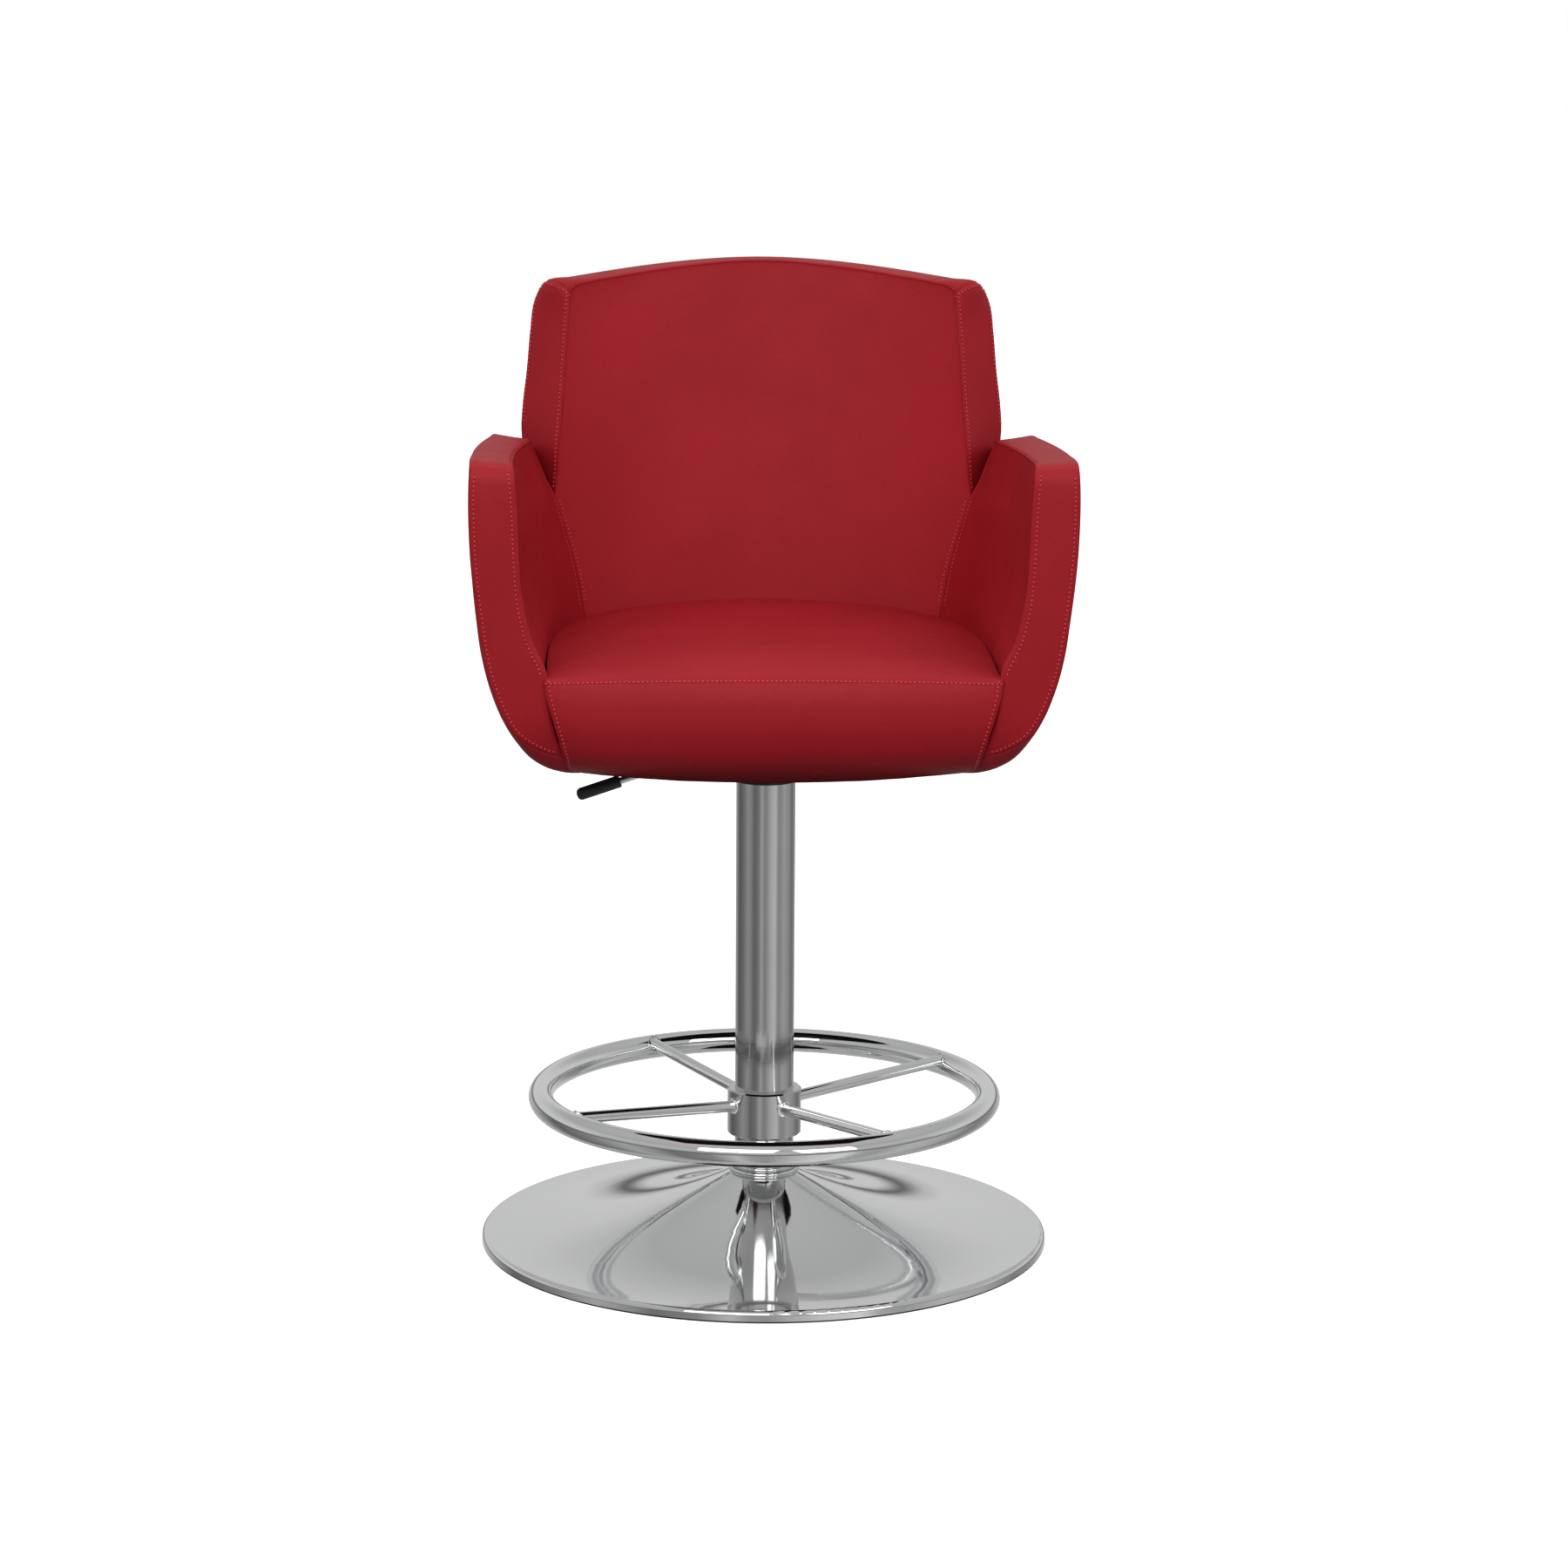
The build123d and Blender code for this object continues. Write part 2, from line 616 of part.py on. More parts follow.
def side_bracket(y_middle):
    y_range = (y_middle - 20.0, y_middle + 20.0)
    low, high = BOARD_Z[0] - BRACKET, 698.0
    leg_low_x = arm_core_x(low) - BRACKET
    leg = leaning_strip(leg_low_x, low, arm_core_x(high) - BRACKET, high, BRACKET, y_range)
    foot = block((140.0, leg_low_x + 1.0), y_range, (low, BOARD_Z[0]))
    return leg + foot


def back_lean():
    """How far the back moves towards +Y for each millimetre of height."""
    return (BACK_FACE_HIGH_Y - BACK_FACE_LOW_Y) / (CAVITY_TOP_Z - BOARD_Z[0])


def back_panel():
    """Bent plywood core of the back, its foot lifted clear of the pad's rounded lower edge."""
    front_r, thickness, low, high, foot = 400.0, 12.0, 575.0, 950.0, 54.0
    centre_y = 212.0 - front_r
    ring = Circle(front_r + thickness) - Circle(front_r)
    wedge = Pos(0, front_r) * Rectangle(352.0, 400.0)
    lean = math.degrees(math.atan(back_lean()))
    panel = Pos(0, 0, foot) * extrude(ring & wedge, high - low - foot)
    return (Pos(0, centre_y, low) * Rot(-lean, 0, 0) * panel) - back_brackets()


def back_brackets():
    """Two flat steel angles from under the board up the back's core."""
    return Compound([back_bracket(x) for x in (-80.0, 80.0)])


def back_bracket(x_middle):
    low, high = BOARD_Z[0] - BRACKET, 730.0
    y_low = 217.0
    y_high = y_low + back_lean() * (high - low)
    outline = Polyline((y_low, low), (y_high, high), (y_high + BRACKET, high), (y_low + BRACKET, low),
                       close=True)
    leg = Pos(x_middle - 20.0, 0, 0) * extrude(Plane.YZ * make_face(outline), 40.0)
    foot = block((x_middle - 20.0, x_middle + 20.0), (112.0, y_low + 1.0), (low, BOARD_Z[0]))
    return leg + foot


def frame_bolt_places():
    places = [(side * x, y) for side in (-1, 1) for x in (152.0, 178.0) for y in (-170.0, 40.0)]
    return places + [(x, y) for x in (-80.0, 80.0) for y in (124.0, 152.0)]


def frame_bolts():
    """Bolts that hold the side and back brackets under the board."""
    head_low = BOARD_Z[0] - BRACKET - BOLT_HEAD_H
    return Compound([hex_bolt(x, y, head_low, BOARD_Z[1] - 3.0) for x, y in frame_bolt_places()])


# ---------------------------------------------------------------- output

def build():
    side_angles = side_brackets() - frame_bolts()
    back_angles = back_brackets() - frame_bolts()
    right_arm = right_arm_pad()
    nodes = {
        "base_cover": base_cover(),
        "floor_ring": floor_ring(),
        "ballast_plate": ballast_plate(),
        "column_flange": column_flange(),
        "foot_bolts": foot_bolts(),
        "neck_ring_lower": neck_ring(36.5, BASE_NECK_TOP, BASE_NECK_TOP + 5.0),
        "neck_ring_upper": neck_ring(34.2, BASE_NECK_TOP + 5.0, BASE_NECK_TOP + 9.5),
        "column_tube": column_tube(),
        "column_top_ring": column_top_ring(),
        "stand_tube_socket": stand_tube_socket(),
        "footring_collar": footring_collar(),
        "collar_grub_screws": collar_grub_screws(),
        "footring_tube": footring_tube(),
        "stand_tube": stand_tube(),
        "guide_bush": guide_bush(),
        "bearing_lower_race": bearing_lower_race(),
        "bearing_balls": bearing_balls(),
        "bearing_upper_race": bearing_upper_race(),
        "rod_clip": rod_clip(),
        "rod_bumper": rod_bumper(),
        "piston_rod": piston_rod(),
        "piston": piston(),
        "piston_seal": piston_seal(),
        "gas_cylinder": gas_cylinder(),
        "rod_seal": rod_seal(),
        "release_button": release_button(),
        "taper_hub": taper_hub(),
        "mount_channel": mount_channel(),
        "mount_plate": mount_plate(),
        "plate_bolts": plate_bolts(),
        "tee_nuts": tee_nuts(),
        "lever_pin": lever_pin(),
        "release_lever": release_lever(),
        "lever_grip": lever_grip(),
        "seat_board": seat_board(),
        "seat_cushion": seat_cushion(),
        "under_pad": under_pad(),
        "right_arm_pad": right_arm,
        "left_arm_pad": mirrored_x(right_arm),
        "back_pad": back_pad(),
        "right_arm_panel": arm_panel(),
        "left_arm_panel": mirrored_x(arm_panel()),
        "back_panel": back_panel(),
        "right_arm_brackets": side_angles,
        "left_arm_brackets": mirrored_x(side_angles),
        "back_brackets": back_angles,
        "frame_bolts": frame_bolts(),
    }
    for index in range(SPOKE_COUNT):
        angle = SPOKE_START_ANGLE + index * 360.0 / SPOKE_COUNT
        nodes[f"footring_spoke_{index + 1}"] = footring_spoke(angle)
    return nodes


def main():
    os.makedirs("parts", exist_ok=True)
    for name, shape in build().items():
        export_step(shape, f"parts/{name}.step")


main()
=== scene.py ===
import json
import math
import bpy
import numpy as np
from mathutils import Matrix, Vector


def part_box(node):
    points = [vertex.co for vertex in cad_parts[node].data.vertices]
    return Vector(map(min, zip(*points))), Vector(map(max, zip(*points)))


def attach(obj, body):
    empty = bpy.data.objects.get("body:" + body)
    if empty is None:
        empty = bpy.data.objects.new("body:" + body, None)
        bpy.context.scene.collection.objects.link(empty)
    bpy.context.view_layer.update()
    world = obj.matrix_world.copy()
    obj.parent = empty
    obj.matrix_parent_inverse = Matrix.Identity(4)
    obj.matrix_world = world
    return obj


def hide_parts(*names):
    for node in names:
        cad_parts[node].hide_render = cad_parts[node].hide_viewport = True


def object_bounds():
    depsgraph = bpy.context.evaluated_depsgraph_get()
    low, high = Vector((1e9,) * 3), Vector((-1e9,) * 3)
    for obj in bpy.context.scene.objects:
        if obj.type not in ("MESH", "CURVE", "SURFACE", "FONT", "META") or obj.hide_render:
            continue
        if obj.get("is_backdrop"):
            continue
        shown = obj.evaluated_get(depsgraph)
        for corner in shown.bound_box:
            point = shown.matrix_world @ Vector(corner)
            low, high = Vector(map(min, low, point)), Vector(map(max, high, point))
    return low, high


# Looks of the adjustable swivel stool. The covers are laid out in millimetres, in the CAD frame,
# as panels that meet at seams, and they are turned into metres when their meshes are made.
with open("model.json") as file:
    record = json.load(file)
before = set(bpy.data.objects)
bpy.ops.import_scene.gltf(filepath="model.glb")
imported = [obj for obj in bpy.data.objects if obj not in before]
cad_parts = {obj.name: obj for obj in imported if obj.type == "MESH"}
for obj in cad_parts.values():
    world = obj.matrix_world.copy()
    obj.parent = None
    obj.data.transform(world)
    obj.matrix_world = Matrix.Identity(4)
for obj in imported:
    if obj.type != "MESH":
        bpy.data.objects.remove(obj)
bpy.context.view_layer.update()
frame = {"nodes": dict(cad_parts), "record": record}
MM = 0.001
MIRROR = np.array([-1.0, 1.0, 1.0])


# ------ curves and patches

def steps_along(points):
    return np.linalg.norm(np.diff(np.asarray(points, float), axis=0), axis=1)


def travel(points):
    """Distance along a line to each of its points."""
    return np.r_[0.0, np.cumsum(steps_along(points))]


def at_distance(at, run, values):
    """Each column of some values, read at a distance along a line."""
    return np.array([np.interp(at, run, column) for column in values.T])


def chord_knots(points):
    return travel(points) / steps_along(points).sum()


def curve(points, shares, knots=None):
    """Points at the given shares of a smooth curve through some points."""
    p = np.asarray(points, float)
    s = chord_knots(p) if knots is None else np.asarray(knots, float)
    h = np.diff(s)
    slope = np.diff(p, axis=0) / h[:, None]
    tangent = np.empty_like(p)
    tangent[0], tangent[-1] = slope[0], slope[-1]
    w = (h[1:] / (h[1:] + h[:-1]))[:, None]
    tangent[1:-1] = slope[:-1] * w + slope[1:] * (1 - w)
    x = np.asarray(shares, float)
    i = np.clip(np.searchsorted(s, x, side="right") - 1, 0, len(h) - 1)
    f = ((x - s[i]) / h[i])[:, None]
    step = h[i][:, None]
    start = (2 * f**3 - 3 * f**2 + 1) * p[i] + (f**3 - 2 * f**2 + f) * step * tangent[i]
    end = (3 * f**2 - 2 * f**3) * p[i + 1] + (f**3 - f**2) * step * tangent[i + 1]
    return start + end


def even_shares(points, shares):
    """Knot values whose points lie at the given shares of the curve's true length."""
    fine = np.linspace(0, 1, 600)
    run = chord_knots(curve(points, fine))
    return np.interp(shares, run, fine)


def length_of(points):
    return steps_along(curve(points, np.linspace(0, 1, 300))).sum()


def coons(u, v, low, high, left, right):
    """A patch between four edges: low and high run along u, left and right along v."""
    a, b = u[:, None, None], v[None, :, None]
    across_v = (1 - b) * low[:, None] + b * high[:, None]
    across_u = (1 - a) * left[None] + a * right[None]
    corners = (1 - a) * ((1 - b) * low[0] + b * high[0]) + a * ((1 - b) * low[-1] + b * high[-1])
    return across_v + across_u - corners


def between_rails(u, v, low, high, left, right, reach):
    """A patch from rail left to rail right, where the bends of the low and high edges fade out
    within a reach, given as a share of the rails."""
    a, b = u[:, None, None], v[None, :, None]
    ruled = (1 - a) * left[None] + a * right[None]
    bend_low = low - ((1 - u)[:, None] * low[0] + u[:, None] * low[-1])
    bend_high = high - ((1 - u)[:, None] * high[0] + u[:, None] * high[-1])
    ease_low = np.exp(-((b / reach) ** 2)) * (1 - b)
    ease_high = np.exp(-(((1 - b) / reach) ** 2)) * b
    return ruled + bend_low[:, None] * ease_low + bend_high[:, None] * ease_high


def straight(a, b, shares):
    return a + (b - a) * np.asarray(shares)[:, None]


# Distances from a seam at which a fine grid has its first lines, and the step of a coarse grid.
NEAR_SEAM = np.array([0.0, 0.8, 1.7, 2.8, 4.2, 6.0, 8.4, 11.6])
COARSE_STEP = 9.0


def graded(length, step, start=True, end=True):
    """Shares of a length that are close together next to a seam."""
    low = NEAR_SEAM if start else NEAR_SEAM[:1]
    high = length - (NEAR_SEAM if end else NEAR_SEAM[:1])[::-1]
    count = max(2, round((high[0] - low[-1]) / step))
    inner = np.linspace(low[-1], high[0], count + 1)[1:-1]
    return np.r_[low, inner, high] / length


def coarse(length, step, start=True, end=True):
    """Even shares for the cloth simulation's grid, called in the same way as graded."""
    return np.linspace(0, 1, max(4, round(length / COARSE_STEP)) + 1)


# ------ shells

def side_distances(grid):
    """Distance of each point of a grid from its four sides, measured along the grid lines."""
    du = np.linalg.norm(np.diff(grid, axis=0), axis=2)
    dv = np.linalg.norm(np.diff(grid, axis=1), axis=2)
    u0 = np.concatenate([np.zeros((1, grid.shape[1])), np.cumsum(du, axis=0)])
    v0 = np.concatenate([np.zeros((grid.shape[0], 1)), np.cumsum(dv, axis=1)], axis=1)
    return [u0, u0[-1:] - u0, v0, v0[:, -1:] - v0]


def normals_of(grid):
    n = np.cross(np.gradient(grid, axis=0), np.gradient(grid, axis=1))
    size = np.linalg.norm(n, axis=2, keepdims=True)
    return n / np.maximum(size, 1e-9)


SEAM_WIDTH = 1.3
# Points in one cell of a fine grid are one point. The shift keeps round numbers off its edges.
CELLS_PER_MM = 50
CELL_SHIFT = 0.3717


class Panel:
    """One cut panel: a grid of points, the seam depth on its four sides, and how full it is."""

    def __init__(self, name, grid, u, v, seams, crown=2.0, reach=10.0):
        self.name, self.grid, self.u, self.v = name, grid, u, v
        self.seams, self.crown, self.reach = seams, crown, reach
        self.sign = 1.0

    def offsets(self):
        push = np.full(self.grid.shape[:2], self.crown)
        for depth, d in zip(self.seams, side_distances(self.grid)):
            if depth:
                push *= 1 - np.exp(-d / self.reach)
        for depth, d in zip(self.seams, side_distances(self.grid)):
            if depth:
                push -= depth * np.exp(-((d / SEAM_WIDTH) ** 2))
        return push[:, :, None] * normals_of(self.grid) * self.sign


def weld(panels):
    """One index for every shared point of the panels, and the welded points."""
    flat = np.concatenate([p.grid.reshape(-1, 3) for p in panels])
    keys = np.floor(flat * CELLS_PER_MM + CELL_SHIFT).astype(np.int64)
    _, first, inverse = np.unique(keys, axis=0, return_index=True, return_inverse=True)
    return flat[first], inverse.ravel()


def orient(panels):
    middle = np.concatenate([p.grid.reshape(-1, 3) for p in panels]).mean(axis=0)
    for p in panels:
        facing = (normals_of(p.grid) * (p.grid - middle)).sum()
        p.sign = 1.0 if facing > 0 else -1.0


def welded_grids(panels, inverse):
    """Each panel with the numbers of its welded points."""
    base = 0
    for p in panels:
        nu, nv = p.grid.shape[:2]
        yield p, inverse[base:base + nu * nv].reshape(nu, nv)
        base += nu * nv


def quads(panels, inverse):
    """Faces of the welded shell, all facing out."""
    faces = []
    for p, index in welded_grids(panels, inverse):
        ring = [index[:-1, :-1], index[1:, :-1], index[1:, 1:], index[:-1, 1:]]
        if p.sign < 0:
            ring = ring[::-1]
        for face in np.stack([r.ravel() for r in ring], axis=1).tolist():
            kept = list(dict.fromkeys(face))
            if len(kept) > 2:
                faces.append(kept)
    return faces


def ring_faces(rings, around):
    """Faces of a closed ring of rings, each with the same number of points."""
    faces = []
    for i in range(rings):
        for k in range(around):
            here, following = i * around, (i + 1) % rings * around
            ahead = (k + 1) % around
            faces.append((here + k, here + ahead, following + ahead, following + k))
    return faces


def linked(name, data):
    """A new object in the scene that holds a mesh, a light or a camera."""
    made = bpy.data.objects.new(name, data)
    bpy.context.scene.collection.objects.link(made)
    return made


def mesh_object(name, points, faces):
    mesh = bpy.data.meshes.new(name)
    mesh.from_pydata((np.asarray(points) * MM).tolist(), [], faces)
    mesh.polygons.foreach_set("use_smooth", [True] * len(mesh.polygons))
    mesh.update()
    return linked(name, mesh)


def on_seam(panels, inverse):
    """True for each welded point that lies on a sewn side."""
    pinned = np.zeros(inverse.max() + 1, bool)
    for p, index in welded_grids(panels, inverse):
        sides = (index[0], index[-1], index[:, 0], index[:, -1])
        for depth, side in zip(p.seams, sides):
            if depth:
                pinned[side] = True
    return pinned


CLOTH_FRAMES = 20
CLOTH_PRESSURE = 4.0


def inflate(name, panels, fullness, cap):
    """Cloth simulation of a coarse copy of a shell, held at its seams, with its moves capped.
    Fullness is the share by which the cloth is cut larger. Gives each panel's moves."""
    orient(panels)
    points, inverse = weld(panels)
    body = mesh_object(name + "_cloth", points, quads(panels, inverse))
    group = body.vertex_groups.new(name="seams")
    group.add(np.flatnonzero(on_seam(panels, inverse)).tolist(), 1.0, "REPLACE")
    cloth = body.modifiers.new("cloth", "CLOTH")
    cloth.settings.quality = 5
    cloth.settings.mass = 0.4
    cloth.settings.use_pressure = True
    cloth.settings.uniform_pressure_force = CLOTH_PRESSURE
    cloth.settings.tension_stiffness = 25
    cloth.settings.compression_stiffness = 25
    cloth.settings.bending_stiffness = 3.0
    cloth.settings.shrink_min = -fullness
    cloth.settings.vertex_group_mass = "seams"
    cloth.settings.effector_weights.gravity = 0.0
    cloth.point_cache.frame_end = CLOTH_FRAMES
    for number in range(1, CLOTH_FRAMES + 1):
        bpy.context.scene.frame_set(number)
    shaped = body.evaluated_get(bpy.context.evaluated_depsgraph_get())
    moved = np.array([v.co for v in shaped.data.vertices]) / MM
    bpy.context.scene.frame_set(1)
    bpy.data.objects.remove(body)
    shift = moved - points
    size = np.linalg.norm(shift, axis=1, keepdims=True)
    shift *= np.minimum(1.0, cap / np.maximum(size, 1e-9))
    return {p.name: (shift[index], p.u, p.v) for p, index in welded_grids(panels, inverse)}


def spread(coarse_moves, u, v):
    """Moves of a coarse grid, smoothly read at a finer grid's shares."""
    move, from_u, from_v = coarse_moves
    nu, nv = move.shape[:2]
    rows = curve(move.reshape(nu, nv * 3), u, from_u).reshape(len(u), nv, 3)
    turned = rows.transpose(1, 0, 2).reshape(nv, len(u) * 3)
    return curve(turned, v, from_v).reshape(len(v), len(u), 3).transpose(1, 0, 2)


def build_shell(name, layout, fullness, cap):
    """A closed cover from a panel layout. Its panels keep their final points for the stitching."""
    panels = layout(graded)
    orient(panels)
    moves = inflate(name, layout(coarse), fullness, cap)
    points, inverse = weld(panels)
    total, count = np.zeros_like(points), np.zeros((len(points), 1))
    for p, index in welded_grids(panels, inverse):
        push = p.offsets()
        if p.name in moves:
            push = push + spread(moves[p.name], p.u, p.v)
        np.add.at(total, index.ravel(), push.reshape(-1, 3))
        np.add.at(count, index.ravel(), 1.0)
    points = points + total / count
    for p, index in welded_grids(panels, inverse):
        p.final = points[index]
    cover = mesh_object(name, points, quads(panels, inverse))
    return cover, {p.name: p for p in panels}


# ------ stitching

STITCH_PITCH = 4.3
STITCH_LENGTH = 2.7
STITCH_R = 0.68
# A stitch points along its row as the row runs over this distance each way.
AIM_REACH = 1.5
# Rings of a stitch: place as a share of half its length, size as a share of its radius, and height.
STITCH_RINGS = [(-1.0, 0.30, -0.30), (-0.82, 0.85, 0.10), (-0.4, 1.0, 0.26), (0.4, 1.0, 0.26),
                (0.82, 0.85, 0.10), (1.0, 0.30, -0.30)]
STITCH_SIDES = 8
STITCH_WIDTH = 1.15
# Half length, half width and height of a needle hole's mouth and of its floor.
HOLE_RINGS = [(0.62, 0.42, 0.14), (0.5, 0.3, -0.5)]


def row_path(panel, side, distance):
    """A line on a finished panel that runs beside one of its sides, with the surface normals."""
    grid = panel.final
    normals = normals_of(grid) * panel.sign
    if side in ("u0", "u1"):
        grid, normals = grid.transpose(1, 0, 2), normals.transpose(1, 0, 2)
    if side in ("u1", "v1"):
        grid, normals = grid[:, ::-1], normals[:, ::-1]
    line, up = [], []
    for points, n in zip(grid, normals):
        run = travel(points)
        if run[-1] >= 2 * distance:
            line.append(at_distance(distance, run, points))
            up.append(at_distance(distance, run, n))
    return np.array(line), np.array(up)


def stitch_shape():
    """A short thread, rounded at its ends and dipping where it enters the cover."""
    sides, points, faces = STITCH_SIDES, [], []
    for along, size, rise in STITCH_RINGS:
        for k in range(sides):
            turn = 2 * math.pi * k / sides
            points.append((along * STITCH_LENGTH / 2, math.cos(turn) * STITCH_R * size * STITCH_WIDTH,
                           math.sin(turn) * STITCH_R * size + rise))
    for ring in range(len(STITCH_RINGS) - 1):
        for k in range(sides):
            a, b = ring * sides + k, ring * sides + (k + 1) % sides
            faces.append((a, b, b + sides, a + sides))
    faces.append(tuple(range(sides - 1, -1, -1)))
    faces.append(tuple(range(len(points) - sides, len(points))))
    return np.array(points), faces


def hole_shape():
    """A needle hole: a small pocket with eight sides, closed on top by a flat cap just above the cover,
    whose near-black colour is painted shade.
    """
    turns = np.arange(8) * math.pi / 4
    points = [(x * math.cos(t), y * math.sin(t), z) for x, y, z in HOLE_RINGS for t in turns]
    faces = [tuple(range(8)), tuple(range(15, 7, -1))]
    faces += [(8 + k, 8 + (k + 1) % 8, (k + 1) % 8, k) for k in range(8)]
    return np.array(points), faces


def sew(name, rows):
    """Stitches and their needle holes along rows of (points, normals)."""
    # The needle holes are near-black marks of painted shade between the stitches.
    shapes = {"stitching": (stitch_shape(), 0.0), "needle_holes": (hole_shape(), 0.5)}
    made = []
    for kind, ((shape, faces), shift) in shapes.items():
        points, all_faces = [], []
        for line, up in rows:
            run = travel(line)
            count = int(run[-1] / STITCH_PITCH)
            for k in range(count):
                at = (k + 0.5 + shift) * run[-1] / count
                if at > run[-1]:
                    continue
                place, n = at_distance(at, run, line), at_distance(at, run, up)
                n /= np.linalg.norm(n)
                x = at_distance(at + AIM_REACH, run, line) - at_distance(at - AIM_REACH, run, line)
                x -= n * (x @ n)
                x /= np.linalg.norm(x)
                y = np.cross(n, x)
                base = len(points)
                points.extend(place + shape @ np.array([x, y, n]))
                all_faces.extend([tuple(i + base for i in face) for face in faces])
        made.append(mesh_object(f"{name}_{kind}", points, all_faces))
    return made


def seam_rows(panels, *table):
    """Rows for sew, each (panel, side, distance from it, lowest z, highest z, greatest y)."""
    rows = []
    for name, side, distance, low, high, front in table:
        line, up = row_path(panels[name], side, distance)
        kept = (line[:, 2] > low) & (line[:, 2] < high) & (line[:, 1] < front)
        rows.append((line[kept], up[kept]))
    return rows


# ------ arms

ARM_INNER_FRONT = [
    (186, -228, 543), (197, -238.5, 549), (203, -245, 557), (207.5, -249.5, 570),
    (211.2, -252.6, 588),
    (213.2, -253.6, 605), (214, -254, 618), (214.8, -254, 629), (217.4, -254, 636),
    (222.9, -254, 646.5), (228.4, -254, 659.5), (232.6, -254, 675), (236.3, -254, 693),
    (238.3, -254, 714), (239.5, -254, 736), (240.3, -254, 758), (240.9, -254, 780),
    (242.4, -254, 800), (243.4, -253, 811), (244.4, -248.5, 819),
]
ARM_INNER_TOP = [
    (244.4, -248.5, 819), (245.4, -240, 822.3), (247, -215, 822.6), (248.5, -150, 820.5),
    (249.3, -89, 818.3), (249, -48, 816.8), (248, -15, 815.5), (246.5, 19, 814.3),
    (244.3, 68, 812.5), (240.5, 133, 810.1), (241, 152, 809), (242, 172, 806.5),
]
ARM_INNER_HIDDEN = [(242, 172, 806.5), (243, 203, 799), (238, 225, 789)]
ARM_OUTER_FRONT = [
    (185, -226, 538.5), (200, -238.5, 543.5), (218, -242.5, 549.5), (232.5, -246.5, 557),
    (245, -250, 567),
    (256, -252.5, 585), (264.5, -253.5, 606), (271.5, -254, 628), (275.5, -254, 649.5),
    (278.6, -254, 671), (281.4, -254, 693), (283.8, -254, 715), (285.6, -254, 737),
    (286.6, -254, 759), (287, -254, 780), (286.7, -253.8, 800), (286.1, -252.5, 813),
    (285.6, -247.5, 821.5),
]
ARM_OUTER_TOP = [
    (285.6, -247.5, 821.5), (285.8, -238, 825), (287.2, -209, 825.5), (288.2, -150, 823.8),
    (288.7, -65, 821.4), (286, 36, 818.5), (281.5, 110, 816.4), (279, 150, 815),
    (275, 178, 809), (265, 204, 799), (247, 230, 787),
]
# The outside of the arm at y -190, point for point beside ARM_OUTER_FRONT.
ARM_OUTSIDE = [
    (184, 525), (199.5, 528), (218, 534), (233, 544), (246.5, 560), (258.5, 580.5),
    (267.5, 603),
    (274, 625.5), (278.6, 648), (281.4, 670), (283.8, 692), (285.8, 715), (287.2, 737),
    (288.3, 760), (288.9, 782), (288.7, 800), (288.2, 813), (287.2, 822),
]
SEAM_LINE = [
    (170, 550), (178.5, 588), (186, 625), (196, 678), (206.4, 715), (217, 751),
]
WING_SEAM = [
    (217, 751), (214.3, 772), (212.3, 806), (208.9, 840.5), (205.8, 886), (203.2, 920.5),
    (201.2, 945), (199.2, 957),
]


# Half width of the seat's top at some depths. The arms' inner faces meet it there.
SEAT_SIDE_Y = [-257, -240, -133, -40, 41, 78, 108, 134, 160]
SEAT_SIDE_X = [217.2, 216.4, 217.4, 217.8, 213.6, 208, 202.5, 195.4, 185.8]
SEAT_EDGE_Z = 626.0
ARM_TO_SEAT_GAP = 0.8
HIDDEN_ARM_LENGTH = 110.0


def back_face_y(x, z):
    """Depth of the front of the back, a shallow curve that leans back."""
    return 205.0 + 0.13 * (z - 625.0) - 0.0013 * x * x


def rear_face_y(x, z):
    """Depth of the rear of the back, which leans a little and turns in at the bottom."""
    return 266.8 + 0.05 * (z - 620.0) - 0.0007 * x * x - 75.0 * np.exp((512.0 - z) / 26.0)


def flat_back(line):
    """The same line with its depth counted from the curve of the back."""
    return np.stack([line[:, 0], line[:, 1] - back_face_y(line[:, 0], line[:, 2]), line[:, 2]], 1)


def on_back_face(points):
    return [(x, float(back_face_y(x, z)), z) for x, z in points]


def rear_round(z):
    """How far the rear surface is drawn in near the underside, from 1 down to about 0.65."""
    return np.interp(z, [512.0, 525.0, 552.0, 590.0, 640.0], [0.66, 0.78, 0.91, 0.975, 1.0])


